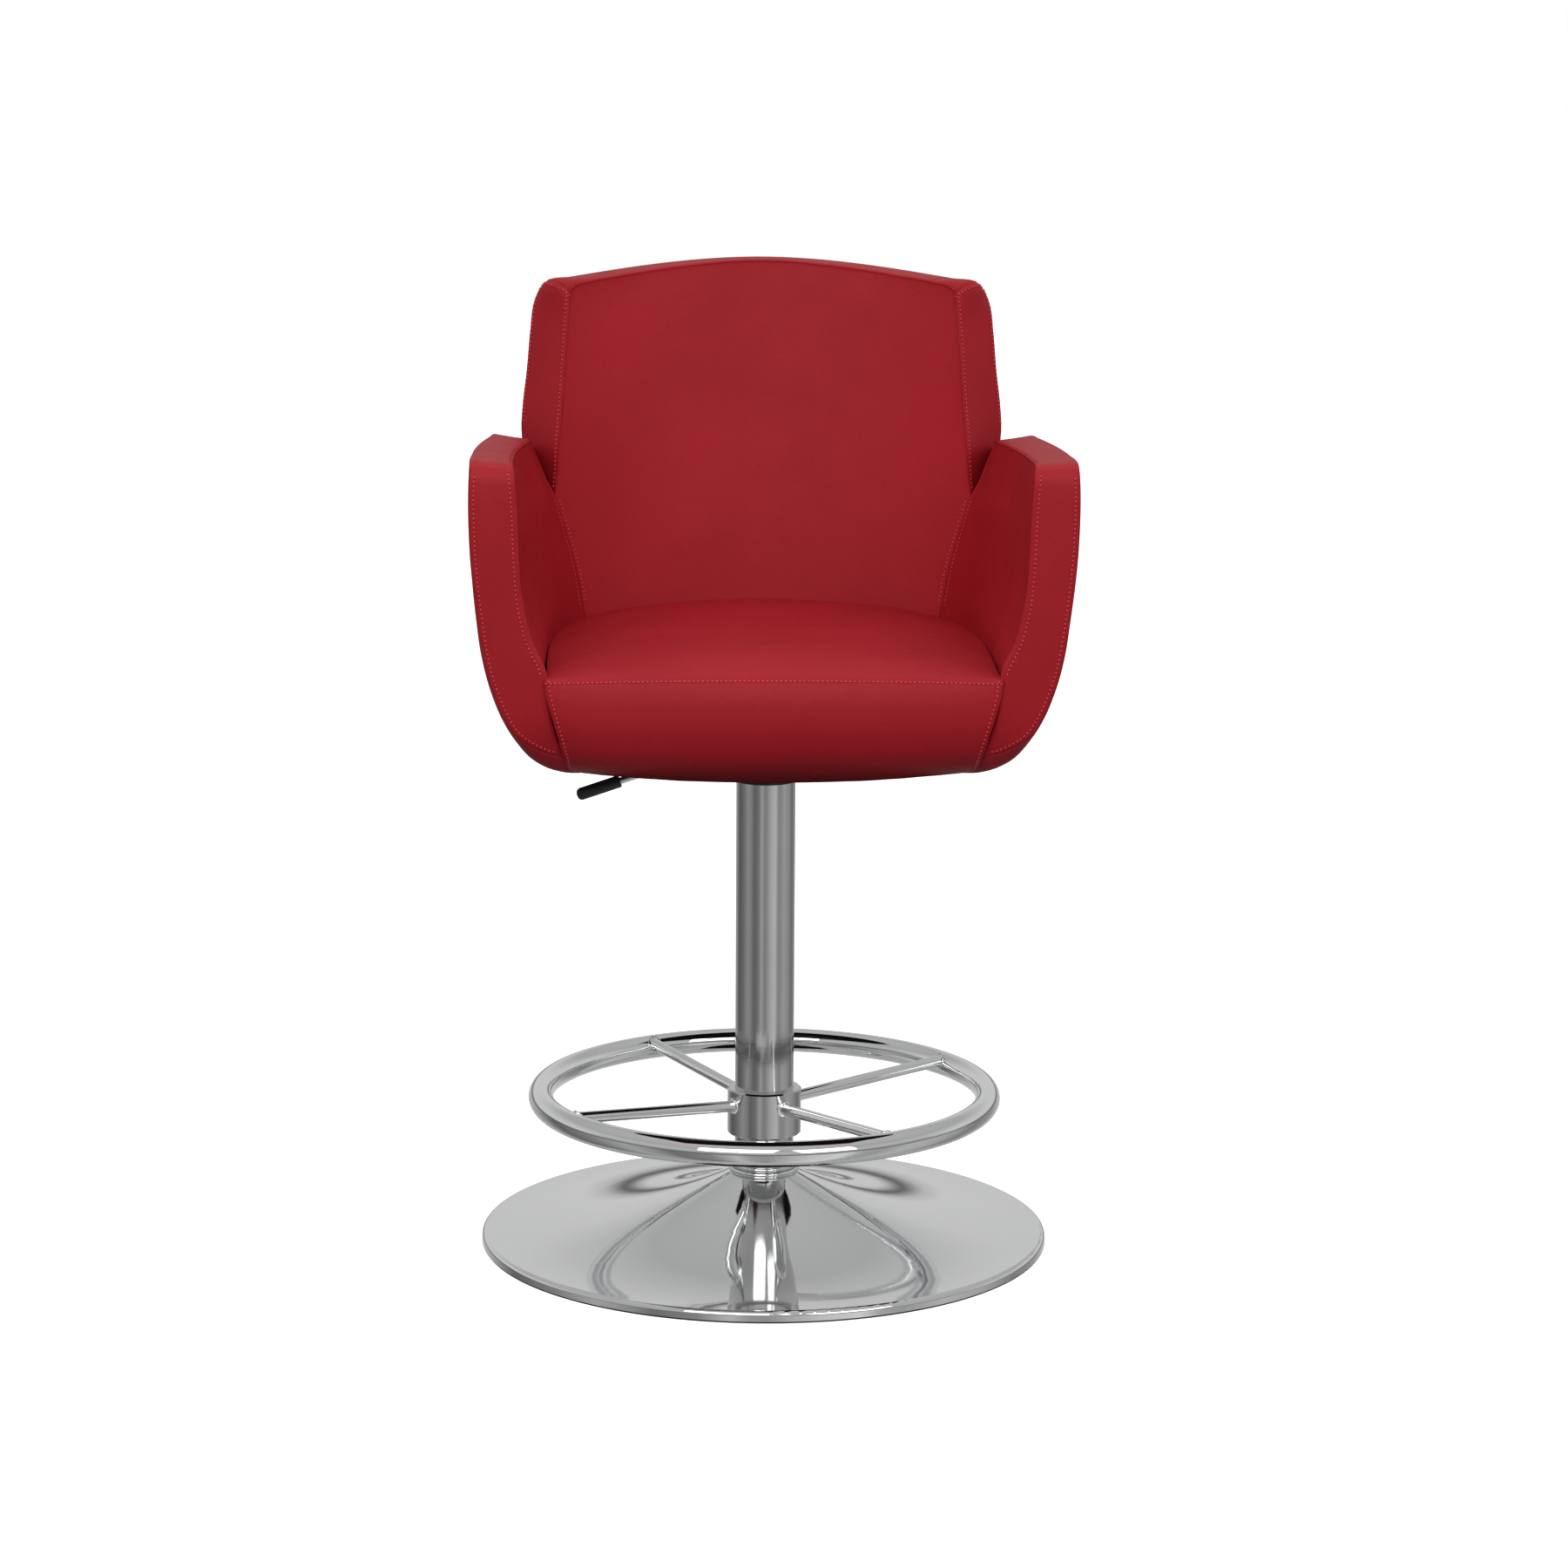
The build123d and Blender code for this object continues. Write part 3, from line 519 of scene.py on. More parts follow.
def arm_layout(side):
    """The right arm's panels for side 1, and the left arm's for side -1."""
    def layout(shares):
        flip = np.array([side, 1.0, 1.0])
        h = shares(length_of(ARM_OUTER_FRONT), 6.0, False, True)
        y1 = shares(length_of(ARM_INNER_TOP), 7.0, True, True)
        y2 = shares(HIDDEN_ARM_LENGTH, 8.0, False, True)
        w = shares(50.0, 5.0)
        inner_front = curve(ARM_INNER_FRONT, even_shares(ARM_INNER_FRONT, h))
        knots = chord_knots(ARM_OUTER_FRONT)
        at = even_shares(ARM_OUTER_FRONT, h)
        outer_front = curve(ARM_OUTER_FRONT, at)
        inner_top = curve(ARM_INNER_TOP, even_shares(ARM_INNER_TOP, y1))
        inner_hidden = curve(ARM_INNER_HIDDEN, even_shares(ARM_INNER_HIDDEN, y2))
        split = length_of(ARM_INNER_TOP) / (length_of(ARM_INNER_TOP) + HIDDEN_ARM_LENGTH)
        y_all = np.r_[y1 * split, split + y2[1:] * (1 - split)]
        outer_top = curve(ARM_OUTER_TOP, even_shares(ARM_OUTER_TOP, y_all))
        inner_all = np.concatenate([inner_top, inner_hidden[1:]])

        # the strip that runs up the front and back along the top
        inner_rail = np.concatenate([inner_front, inner_all[1:]])
        outer_rail = np.concatenate([outer_front, outer_top[1:]])
        rail_v = chord_knots(outer_rail)
        strip = (1 - w)[:, None, None] * inner_rail[None] + w[:, None, None] * outer_rail[None]

        # the inner face, and its hidden end inside the back
        meet = on_back_face(SEAM_LINE) + [(225, 160, 766), (232, 166, 782),
                                          (238.5, 170, 797), tuple(inner_top[-1])]
        low_line = [ARM_INNER_FRONT[0], (205, -130, 548), (204, -30, 549),
                    (197, 70, 550), (182, 130, 550), meet[0]]
        low = curve(low_line, y1)
        rear_edge = curve(meet, h)
        inner = coons(y1, h, low, inner_top, inner_front, rear_edge)
        rise = h[None, :]
        level = np.array([np.interp(SEAT_EDGE_Z, column[:, 2], column[:, 0]) for column in inner])
        seat_side = np.interp([column[0, 1] for column in inner], SEAT_SIDE_Y, SEAT_SIDE_X)
        pull = seat_side + ARM_TO_SEAT_GAP - level
        pull[0] = pull[-1] = 0.0
        ease = np.clip(rise / 0.1, 0, 1) * np.clip((1 - rise) / 0.3, 0, 1)
        inner[:, :, 0] += pull[:, None] * np.exp(-(((inner[:, :, 2] - 600.0) / 62.0) ** 2)) * ease
        far_line = curve([(165, 190, 550), (190, 212, 610), (222, 228, 700),
                          tuple(inner_hidden[-1])], h)
        far_low = curve([meet[0], (168, 172, 550), (165, 190, 550)], y2)
        hidden = coons(y2, h, far_low, inner_hidden, rear_edge, far_line)

        # the outer face, which rolls round the front edge and under the lower corner
        outside = curve(ARM_OUTSIDE, at, knots)
        x, z = outside[:, 0], outside[:, 1]
        low_z = z - 10.5
        draw = rear_round(low_z)
        lines = [
            outer_front,
            np.stack([x - 0.4, outer_front[:, 1] + 15.0, z + 0.3], 1),
            np.stack([x, np.full_like(x, -190.0), z], 1),
            np.stack([x * 0.996, np.full_like(x, -40.0), z - 4.5], 1),
            np.stack([x * 0.971, 134.0 * (0.4 + 0.6 * draw), low_z], 1),
            np.stack([x * 0.925, 190.0 * draw, low_z - 4.0 * rise[0]], 1),
            np.stack([x * 0.852, 230.0 * draw, low_z - 14.0 * rise[0] ** 3], 1),
        ]
        stops = np.interp([-190.0, -40.0, 134.0, 195.0], outer_top[:, 1], y_all)
        stops = np.r_[0.0, stops[0] * 0.36, stops, 1.0]
        stack = np.stack(lines).reshape(len(lines), -1)
        outer = curve(stack, y_all, stops).reshape(len(y_all), len(h), 3)
        fade = np.clip((rise - 0.80) / 0.20, 0, 1)[:, :, None]
        outer += (outer_top[:, None] - outer[:, -1:]) * fade**2 * (3 - 2 * fade)

        # closures that are out of sight
        rear = coons(w, h, straight(far_line[0], outer[-1, 0], w),
                     straight(far_line[-1], outer[-1, -1], w), far_line, outer[-1])
        under_low = np.concatenate([low, far_low[1:]])
        bottom = under_low[None] * (1 - w)[:, None, None] + outer[:, 0][None] * w[:, None, None]
        named = [
            Panel("strip", strip, w, rail_v, (1.3, 1.3, 0, 0), 0.9, 6.0),
            Panel("inner", inner, y1, h, (1.3, 1.3, 0, 1.2), 1.0, 8.0),
            Panel("hidden", hidden, y2, h, (1.3, 0, 0, 0), 0.0),
            Panel("outer", outer, y_all, h, (1.3, 1.2, 0, 1.0), 0.5, 8.0),
            Panel("rear", rear, w, h, (0, 1.2, 0, 0), 0.0),
            Panel("bottom", bottom, w, y_all, (0, 0, 0, 0), 0.0),
        ]
        for panel in named:
            panel.grid = panel.grid * flip
        return named
    return layout


# ------ back

PANEL_TOP = [(199.2, 957), (197.6, 962), (193, 965.8), (178.3, 969.3), (143.5, 974.8),
             (108.7, 980.1), (62.2, 985.4), (25, 988.6), (0, 989.2)]
REAR_EDGE = [
    (190, 176, 514), (208, 200, 533), (226, 217, 575), (240, 228, 640),
    (245, 231, 700), (249, 231, 770), (252.2, 226, 796), (253.4, 221, 815),
    (251.8, 221, 840), (247.6, 222, 874), (243.2, 224, 920), (239.6, 226, 945),
    (234.6, 229.5, 957.5), (226, 235, 966),
]
REAR_TOP = [(226, 235, 966), (205, 249, 970), (180, 258, 974), (143, 268, 979.5),
            (108, 275, 984), (62, 281.5, 988.5), (25, 284.5, 990.5), (0, 285, 991)]
CORNER_SEAM = [(199.2, 196.6, 957), (205.5, 197, 962.5), (216, 205.5, 967.5), (225, 219, 968.5),
               (226, 235, 966)]


def both_sides(points):
    """A line through x 0 made from its half at +X, running from -X to +X."""
    half = [tuple(p) for p in points]
    return [(-x, y, z) for x, y, z in half] + [(x, y, z) for x, y, z in half[-2::-1]]


def back_layout(shares):
    z1 = shares(length_of(on_back_face(SEAM_LINE)), 7.0, False, False)
    z2 = shares(length_of(on_back_face(WING_SEAM)), 7.0, False, True)
    across = shares(430.0, 8.0)
    depth = shares(56.0, 5.0)
    low_share = 0.49
    h = np.r_[z1 * low_share, low_share + z2[1:] * (1 - low_share)]
    seam = on_back_face(SEAM_LINE)
    wing = on_back_face(WING_SEAM)
    right = np.concatenate([curve(seam, even_shares(seam, z1)), curve(wing, even_shares(wing, z2))[1:]])
    left = right * MIRROR
    top_line = both_sides(on_back_face(PANEL_TOP))
    top = curve(top_line, even_shares(top_line, across))
    low_line = both_sides(on_back_face([(170, 550), (120, 550), (60, 550), (0, 550)]))
    low = curve(low_line, across)
    low[0], low[-1], top[0], top[-1] = left[0], right[0], left[-1], right[-1]
    face = coons(across, h, flat_back(low), flat_back(top), flat_back(left), flat_back(right))
    face[:, :, 1] += back_face_y(face[:, :, 0], face[:, :, 2])

    rear_split = 0.50
    rear_h = np.r_[z1 * rear_split, rear_split + z2[1:] * (1 - rear_split)]
    rear_right = curve(REAR_EDGE, even_shares(REAR_EDGE, rear_h))
    rear_left = rear_right * MIRROR
    rear_top_line = both_sides(REAR_TOP)
    rear_top = curve(rear_top_line, even_shares(rear_top_line, across))
    rear_low_line = both_sides([(190, 176, 514), (120, 182, 512.5), (60, 184, 512),
                                (0, 184.5, 512)])
    rear_low = curve(rear_low_line, across)
    rear_low[0], rear_low[-1] = rear_left[0], rear_right[0]
    rear_top[0], rear_top[-1] = rear_left[-1], rear_right[-1]
    rear = coons(across, h, rear_low, rear_top, rear_left, rear_right)
    ends = np.minimum(across, 1 - across)[:, None] * 480.0
    tops = np.minimum(h, 1 - h)[None, :] * 480.0
    share = (1 - np.exp(-ends / 13.0)) * (1 - np.exp(-((tops / 5.0) ** 2)))
    rear[:, :, 1] += (rear_face_y(rear[:, :, 0], rear[:, :, 2]) - rear[:, :, 1]) * share

    corner = curve(CORNER_SEAM, depth)
    corner[0], corner[-1] = right[-1], rear_right[-1]
    foot_line = [tuple(right[0]), (186, 150, 540), (194, 158, 524), tuple(rear_right[0])]
    foot = curve(foot_line, depth)
    wing_right = between_rails(depth, h, foot, corner, right, rear_right, 0.045)
    wing_left = wing_right * MIRROR
    cap = between_rails(depth, across, corner * MIRROR, corner, top, rear_top, 0.05)
    base = between_rails(depth, across, foot * MIRROR, foot, low, rear_low, 0.1)
    return [
        Panel("face", face, across, h, (1.3, 1.3, 0, 1.4), 1.2, 9.0),
        Panel("rear", rear, across, h, (1.2, 1.2, 0, 1.2), 1.2, 9.0),
        Panel("wing_right", wing_right, depth, h, (1.3, 1.2, 0, 1.0), 0.5, 7.0),
        Panel("wing_left", wing_left, depth, h, (1.3, 1.2, 0, 1.0), 0.5, 7.0),
        Panel("cap", cap, depth, across, (1.4, 1.2, 1.0, 1.0), 0.6, 6.0),
        Panel("base", base, depth, across, (0, 0, 0, 0), 0.0),
    ]


# ------ seat

SEAT_FRONT_SIDE = [
    (217.2, -257, 622), (213.9, -259, 602), (210.3, -259, 589), (206.7, -257.5, 575),
    (203.6, -254, 564), (200.5, -248, 551), (198.2, -240, 541), (196.4, -222, 530),
    (195.4, -200, 525), (195, -180, 523),
]
SEAT_FRONT_MIDDLE = [
    (0, -257, 624.5), (0, -262.5, 608), (0, -264.5, 590), (0, -262.5, 566),
    (0, -254, 546), (0, -236, 529), (0, -212, 519.5), (0, -180, 515.5),
]


def seat_layout(shares):
    across = shares(430.0, 8.0)
    deep = shares(430.0, 8.0)
    drop = shares(150.0, 6.0)
    s = 2 * across - 1
    side_line = [(x, y, 623.0) for x, y in zip(SEAT_SIDE_X, SEAT_SIDE_Y)]
    side = curve(side_line, even_shares(side_line, deep))
    front_y = -257.0
    rear_y = back_face_y(s * 186.0, 632.0) + 4.0
    top = np.zeros((len(across), len(deep), 3))
    reach = (side[:, 1] - front_y) / (side[-1, 1] - front_y)
    top[:, :, 0] = s[:, None] * side[None, :, 0]
    top[:, :, 1] = front_y + reach[None, :] * (rear_y[:, None] - front_y)
    edge = 622.0 + 2.5 * (1 - s[:, None] ** 2)
    rise = 1 - np.exp(-(top[:, :, 1] - front_y) / 38.0)
    fall = 1 - np.exp(-(1 - np.abs(s[:, None])) * 214.0 / 26.0)
    roll = np.exp(-(rear_y[:, None] - top[:, :, 1]) / 14.0)
    top[:, :, 2] = edge + (4.0 + 9.5 * (1 - s[:, None] ** 2)) * rise * (0.25 + 0.75 * fall) - 5.0 * roll

    side_down = curve(SEAT_FRONT_SIDE, even_shares(SEAT_FRONT_SIDE, drop))
    middle_down = curve(SEAT_FRONT_MIDDLE, even_shares(SEAT_FRONT_MIDDLE, drop))
    share = (np.abs(s) ** 2.2)[:, None, None]
    front = middle_down[None] * (1 - share) + (side_down * np.array([0.0, 1.0, 1.0]))[None] * share
    front[:, :, 0] = s[:, None] * side_down[None, :, 0]
    front[:, 0] = top[:, 0]

    low_back = np.linspace(0, 1, len(drop))[:, None]
    rear_side = top[-1, -1] * (1 - low_back) + np.array([172.0, 150.0, 559.0]) * low_back
    under_line = [tuple(front[-1, -1]), (194, -176, 540), (188, -168, 557), (186, 0, 559),
                  (172, 150, 559)]
    under = curve(under_line, deep)
    wall = coons(deep, drop, top[-1], under, front[-1], rear_side)
    rear = coons(across, drop, top[:, -1], straight(under[-1] * MIRROR, under[-1], across),
                 rear_side * MIRROR, rear_side)
    bottom = coons(deep, across, under * MIRROR, under, front[:, -1], rear[:, -1])
    return [
        Panel("top", top, across, deep, (1.0, 1.0, 0.6, 0), 2.2, 14.0),
        Panel("front", front, across, drop, (1.6, 1.6, 0.6, 0), 1.6, 9.0),
        Panel("wall_right", wall, deep, drop, (0, 0, 1.2, 0), 0.0),
        Panel("wall_left", wall * MIRROR, deep, drop, (0, 0, 1.2, 0), 0.0),
        Panel("rear", rear, across, drop, (0, 0, 0, 0), 0.0),
        Panel("bottom", bottom, deep, across, (0, 0, 0, 0), 0.0),
    ]


# ------ pad under the board

UNDER_TOP_Z = 540.0


def under_z(x, y):
    """Height of the wrapped underside, a little higher at the front and the sides."""
    ahead = np.clip((178.0 - y) / 357.0, 0, 1)
    return 512.6 + ahead * (3.0 + 7.5 * (np.abs(x) / 196.0) ** 1.5)


def rounded_square(half_x, y_low, y_high, corner, count):
    """Points round a rectangle with rounded corners, evenly spaced by angle of travel."""
    points = []
    centres = [(half_x - corner, y_low + corner, -90.0), (half_x - corner, y_high - corner, 0.0),
               (corner - half_x, y_high - corner, 90.0), (corner - half_x, y_low + corner, 180.0)]
    for cx, cy, start in centres:
        for k in range(9):
            turn = math.radians(start + 90.0 * k / 8)
            points.append((cx + corner * math.cos(turn), cy + corner * math.sin(turn)))
    loop = np.array(points + points[:1])
    run = travel(loop)
    return at_distance(np.linspace(0, run[-1], count + 1)[:-1], run, loop).T


def under_pad_cover():
    """A wrapped ring with a rounded inner edge, open in the middle for the seat mount."""
    count = 200
    outer = rounded_square(197.0, -180.0, 178.0, 14.0, count)
    inner = rounded_square(104.0, -104.0, 104.0, 12.0, count)
    rings = [(0.0, 26.0), (0.0, 9.0), (0.0, 3.0), (0.02, 0.6), (0.06, 0.0)]
    rings += [(share, -1.6 * math.sin(math.pi * share)) for share in np.linspace(0.1, 0.92, 14)]
    rings += [(0.96, 0.5), (0.99, 2.2), (1.0, 5.0), (1.0, 12.0), (1.0, 26.0)]
    points = []
    for share, lift in rings:
        flat = outer * (1 - share) + inner * share
        base = under_z(flat[:, 0], flat[:, 1])
        points.append(np.stack([flat[:, 0], flat[:, 1], np.minimum(base + lift, UNDER_TOP_Z)], 1))
    faces = [(a, d, c, b) for a, b, c, d in ring_faces(len(rings), count)]
    return mesh_object("under_pad_cover", np.concatenate(points), faces)


# ------ materials

def new_material(name):
    material = bpy.data.materials.new(name)
    material.use_nodes = True
    tree = material.node_tree
    shader = tree.nodes["Principled BSDF"]
    return material, tree, shader


def feed(tree, made, values):
    """Gives a node's inputs their values. A value that is a node's output is linked instead."""
    for name, value in values.items():
        if isinstance(value, bpy.types.NodeSocket):
            tree.links.new(value, made.inputs[name])
        else:
            made.inputs[name].default_value = value


def node(tree, kind, values, **settings):
    made = tree.nodes.new(kind)
    for key, value in settings.items():
        setattr(made, key, value)
    feed(tree, made, values)
    return made


def place_in(tree, scale=(1.0, 1.0, 1.0)):
    """Places on the object, stretched by a scale."""
    here = node(tree, "ShaderNodeTexCoord", {}).outputs["Object"]
    return node(tree, "ShaderNodeMapping", {"Vector": here, "Scale": scale}).outputs["Vector"]


def noise(tree, where, scale, detail=3.0, roughness=0.5):
    values = {"Vector": where, "Scale": scale, "Detail": detail, "Roughness": roughness}
    return node(tree, "ShaderNodeTexNoise", values).outputs["Fac"]


def ramp(tree, source, stops):
    made = node(tree, "ShaderNodeValToRGB", {"Fac": source})
    elements = made.color_ramp.elements
    while len(elements) < len(stops):
        elements.new(0.5)
    for element, (at, colour) in zip(elements, stops):
        element.position = at
        element.color = (*colour, 1.0)
    return made.outputs["Color"]


def grey(value):
    return (value, value, value)


def map_range(tree, source, low, high, to_low=0.0, to_high=1.0, kind="LINEAR"):
    values = {"Value": source, "From Min": low, "From Max": high, "To Min": to_low, "To Max": to_high}
    return node(tree, "ShaderNodeMapRange", values, interpolation_type=kind).outputs["Result"]


def mix_colour(tree, factor, a, b, blend="MIX"):
    values = {"Factor": factor, "A": a, "B": b}
    return node(tree, "ShaderNodeMix", values, data_type="RGBA", blend_type=blend).outputs["Result"]


def spread_roughness(tree, shader, source, low, high):
    feed(tree, shader, {"Roughness": map_range(tree, source, 0.0, 1.0, low, high)})


def bump(tree, shader, layers):
    """Bump layers, each (source, strength, distance in metres), one over the other."""
    values = {}
    for source, strength, distance in layers:
        values.update({"Height": source, "Strength": strength, "Distance": distance})
        values["Normal"] = node(tree, "ShaderNodeBump", values).outputs["Normal"]
    feed(tree, shader, {"Normal": values["Normal"]})


def vinyl_material():
    """Matte red upholstery vinyl: fine pebble grain, faint woven backing, soft colour drift."""
    material, tree, shader = new_material("red_vinyl")
    here = place_in(tree)
    base = ramp(tree, noise(tree, here, 9.0, 4.0, 0.55),
                [(0.30, (0.330, 0.0095, 0.0155)), (0.70, (0.372, 0.0122, 0.0195))])
    speck = ramp(tree, noise(tree, here, 900.0, 2.0, 0.6), [(0.32, grey(0.90)), (0.68, grey(1.07))])
    pebble = node(tree, "ShaderNodeTexVoronoi", {"Vector": here, "Scale": 950.0}, feature="SMOOTH_F1")
    weave = node(tree, "ShaderNodeTexWave",
                 {"Vector": here, "Scale": 320.0, "Distortion": 0.6, "Detail": 1.0}, bands_direction="Z")
    feed(tree, shader, {"Base Color": mix_colour(tree, 1.0, base, speck, "MULTIPLY"),
                        "Specular IOR Level": 0.16})
    spread_roughness(tree, shader, noise(tree, here, 60.0, 3.0), 0.48, 0.60)
    bump(tree, shader, [
        (noise(tree, here, 26.0, 3.0), 0.10, 0.0022),
        (weave.outputs["Fac"], 0.10, 0.00008),
        (pebble.outputs["Distance"], 0.32, 0.00022),
    ])
    return material


def thread_material():
    material, tree, shader = new_material("red_thread")
    here = place_in(tree)
    tone = ramp(tree, noise(tree, here, 700.0, 2.0),
                [(0.3, (0.58, 0.034, 0.056)), (0.7, (0.74, 0.060, 0.088))])
    feed(tree, shader, {"Base Color": tone, "Specular IOR Level": 0.2, "Roughness": 0.55})
    twist = node(tree, "ShaderNodeTexWave", {"Vector": here, "Scale": 900.0}, bands_direction="DIAGONAL")
    bump(tree, shader, [(twist.outputs["Fac"], 0.4, 0.0002)])
    return material


# Painted shade: a near-black colour that stands in for the shade inside the needle holes.
def hole_shade_material():
    material, tree, shader = new_material("needle_hole_painted_shade")
    tone = ramp(tree, noise(tree, place_in(tree), 500.0),
                [(0.3, (0.05, 0.002, 0.003)), (0.7, (0.09, 0.004, 0.006))])
    feed(tree, shader, {"Base Color": tone, "Roughness": 0.8})
    return material


def metal_material(name, colour, rough, scratch_scale, scratch, blotch=0.02, brushed=None):
    """Polished or brushed metal: fine scratches, slight blotches and uneven polish."""
    material, tree, shader = new_material(name)
    smear = noise(tree, place_in(tree), 14.0, 4.0, 0.6)
    low = tuple(max(0.0, c - blotch) for c in colour)
    feed(tree, shader, {"Metallic": 1.0, "Base Color": ramp(tree, smear, [(0.3, low), (0.7, colour)])})
    spread_roughness(tree, shader, smear, rough * 0.75, rough * 1.3)
    layers = [(noise(tree, place_in(tree, scratch_scale), 60.0, 5.0, 0.7), scratch, 0.00006)]
    if brushed:
        layers.append((noise(tree, place_in(tree, brushed), 40.0, 3.0, 0.6), 0.35, 0.00006))
    bump(tree, shader, layers)
    return material


def plain_material(name, dark, light, rough, grain_scale, grain, specular=0.5):
    """Paint, rubber, plastic or cast iron: two tones, uneven roughness and a surface grain."""
    material, tree, shader = new_material(name)
    here = place_in(tree)
    tone = ramp(tree, noise(tree, here, 12.0, 4.0), [(0.3, dark), (0.7, light)])
    feed(tree, shader, {"Base Color": tone, "Specular IOR Level": specular})
    spread_roughness(tree, shader, noise(tree, here, 45.0, 3.0), *rough)
    bump(tree, shader, [(noise(tree, here, grain_scale, 3.0), grain, 0.0004)])
    return material


def plywood_material():
    """Birch plywood: long grain on the faces, thin darker plies on the edges."""
    material, tree, shader = new_material("plywood")
    grain = noise(tree, place_in(tree, (4.0, 60.0, 60.0)), 3.0, 6.0, 0.6)
    tone = ramp(tree, grain, [(0.25, (0.42, 0.27, 0.14)), (0.55, (0.60, 0.43, 0.25)),
                              (0.8, (0.70, 0.54, 0.34))])
    feed(tree, shader, {"Base Color": tone})
    spread_roughness(tree, shader, grain, 0.55, 0.75)
    bump(tree, shader, [(grain, 0.3, 0.0004)])
    return material


MATERIALS = {
    "red_vinyl": vinyl_material(),
    "thread": thread_material(),
    "hole": hole_shade_material(),
    "chrome": metal_material("mirror_chrome", (0.86, 0.865, 0.87), 0.035, (1.0, 1.0, 1.0), 0.015),
    "brushed_column": metal_material("polished_column", (0.62, 0.62, 0.62), 0.09, (1.0, 1.0, 14.0),
                                     0.06, 0.04, (1.0, 1.0, 60.0)),
    "plywood": plywood_material(),
}
# Colour, roughness, stretch and strength of the scratches, and depth of the blotches.
METALS = {
    "zinc_steel": ((0.60, 0.61, 0.63), 0.30, (1.0, 1.0, 1.0), 0.2, 0.06),
    "piston_aluminium": ((0.70, 0.71, 0.72), 0.25, (1.0, 1.0, 8.0), 0.15, 0.05),
}
# Dark and light tone, range of roughness, scale and strength of the grain, and shine.
PLAIN_FINISHES = {
    "lift_black": ((0.010, 0.010, 0.011), (0.020, 0.020, 0.021), (0.25, 0.38), 300.0, 0.1),
    "black_rubber": ((0.012, 0.012, 0.012), (0.022, 0.022, 0.022), (0.6, 0.8), 500.0, 0.25, 0.35),
    "black_plastic": ((0.008, 0.008, 0.008), (0.014, 0.014, 0.015), (0.38, 0.5), 650.0, 0.3, 0.45),
    "ballast_iron": ((0.035, 0.034, 0.033), (0.07, 0.068, 0.066), (0.65, 0.85), 120.0, 0.8, 0.3),
    "black_painted_steel": ((0.014, 0.014, 0.015), (0.026, 0.026, 0.027), (0.35, 0.5), 420.0, 0.22),
}
for name, values in METALS.items():
    MATERIALS[name] = metal_material(name, *values)
for name, values in PLAIN_FINISHES.items():
    MATERIALS[name] = plain_material(name, *values)


def dress(piece, slot_name, material_name=None):
    material = MATERIALS[material_name or slot_name]
    piece.data.materials.clear()
    piece.data.materials.append(material)
    return piece


# ------ upholstery

def padded_cover(cover, fill, *nodes):
    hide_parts(*nodes)
    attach(cover, "seat")
    dress(cover, "red_vinyl")


def sewn(name, rows):
    thread, holes = sew(name, rows)
    for piece, look in ((thread, "thread"), (holes, "hole")):
        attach(piece, "seat")
        dress(piece, "red_vinyl", look)


ANY_Y, ANY_Z = 1000, (0, 1000)

for arm in ("right", "left"):
    low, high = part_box(arm + "_arm_pad")
    side = 1.0 if low.x + high.x > 0 else -1.0
    cover, panels = build_shell(arm + "_arm_cover", arm_layout(side), -0.004, 1.2)
    padded_cover(cover, 0.9, arm + "_arm_pad")
    sewn(arm + "_arm", seam_rows(
        panels,
        ("strip", "u0", 6.5, 623, 817, -246),
        ("strip", "u1", 5.0, 0, 816, -240),
        ("inner", "u1", 5.0, 632, 751, ANY_Y),
        ("outer", "u1", 6.0, 530, 790, ANY_Y),
    ))

cover, panels = build_shell("back_cover", back_layout, -0.004, 1.5)
padded_cover(cover, 0.9, "back_pad")
sewn("back", seam_rows(
    panels,
    ("face", "u0", 5.0, 632, 751, ANY_Y),
    ("face", "u1", 5.0, 632, 751, ANY_Y),
    ("wing_right", "u0", 5.0, 752, 957, ANY_Y),
    ("wing_left", "u0", 5.0, 752, 957, ANY_Y),
    ("wing_right", "u1", 4.0, 815, 966, ANY_Y),
    ("wing_left", "u1", 4.0, 815, 966, ANY_Y),
    ("wing_right", "v1", 4.0, *ANY_Z, ANY_Y),
    ("wing_left", "v1", 4.0, *ANY_Z, ANY_Y),
    ("rear", "u0", 6.0, 530, 790, ANY_Y),
    ("rear", "u1", 6.0, 530, 790, ANY_Y),
))

cover, panels = build_shell("seat_cover", seat_layout, 0.0, 2.5)
padded_cover(cover, 0.9, "seat_cushion")
sewn("seat", seam_rows(
    panels,
    ("front", "v0", 4.0, *ANY_Z, ANY_Y),
    ("front", "u0", 5.0, 528, 1000, ANY_Y),
    ("front", "u1", 5.0, 528, 1000, ANY_Y),
))

padded_cover(under_pad_cover(), 0.95, "under_pad")


# ------ welds

ring_low, ring_high = (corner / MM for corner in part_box("footring_tube"))
RING_TUBE_R = (ring_high.z - ring_low.z) / 2
RING_R = ring_high.x - RING_TUBE_R
RING_Z = (ring_high.z + ring_low.z) / 2
COLLAR_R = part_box("footring_collar")[1].x / MM
SPOKE_R = 6.0
SPOKE_ANGLES = (31.0, 121.0, 211.0, 301.0)
# A spoke's axis: radius and height where it starts, how far out and up it runs, and its end.
SPOKE_START_R, SPOKE_START_Z = 35.8, 144.0
SPOKE_RUN, SPOKE_RISE = 190.2, 14.0
SPOKE_END_R = 216.6
BEAD_R = 2.1
BEAD_TURNS, BEAD_SIDES = 40, 10


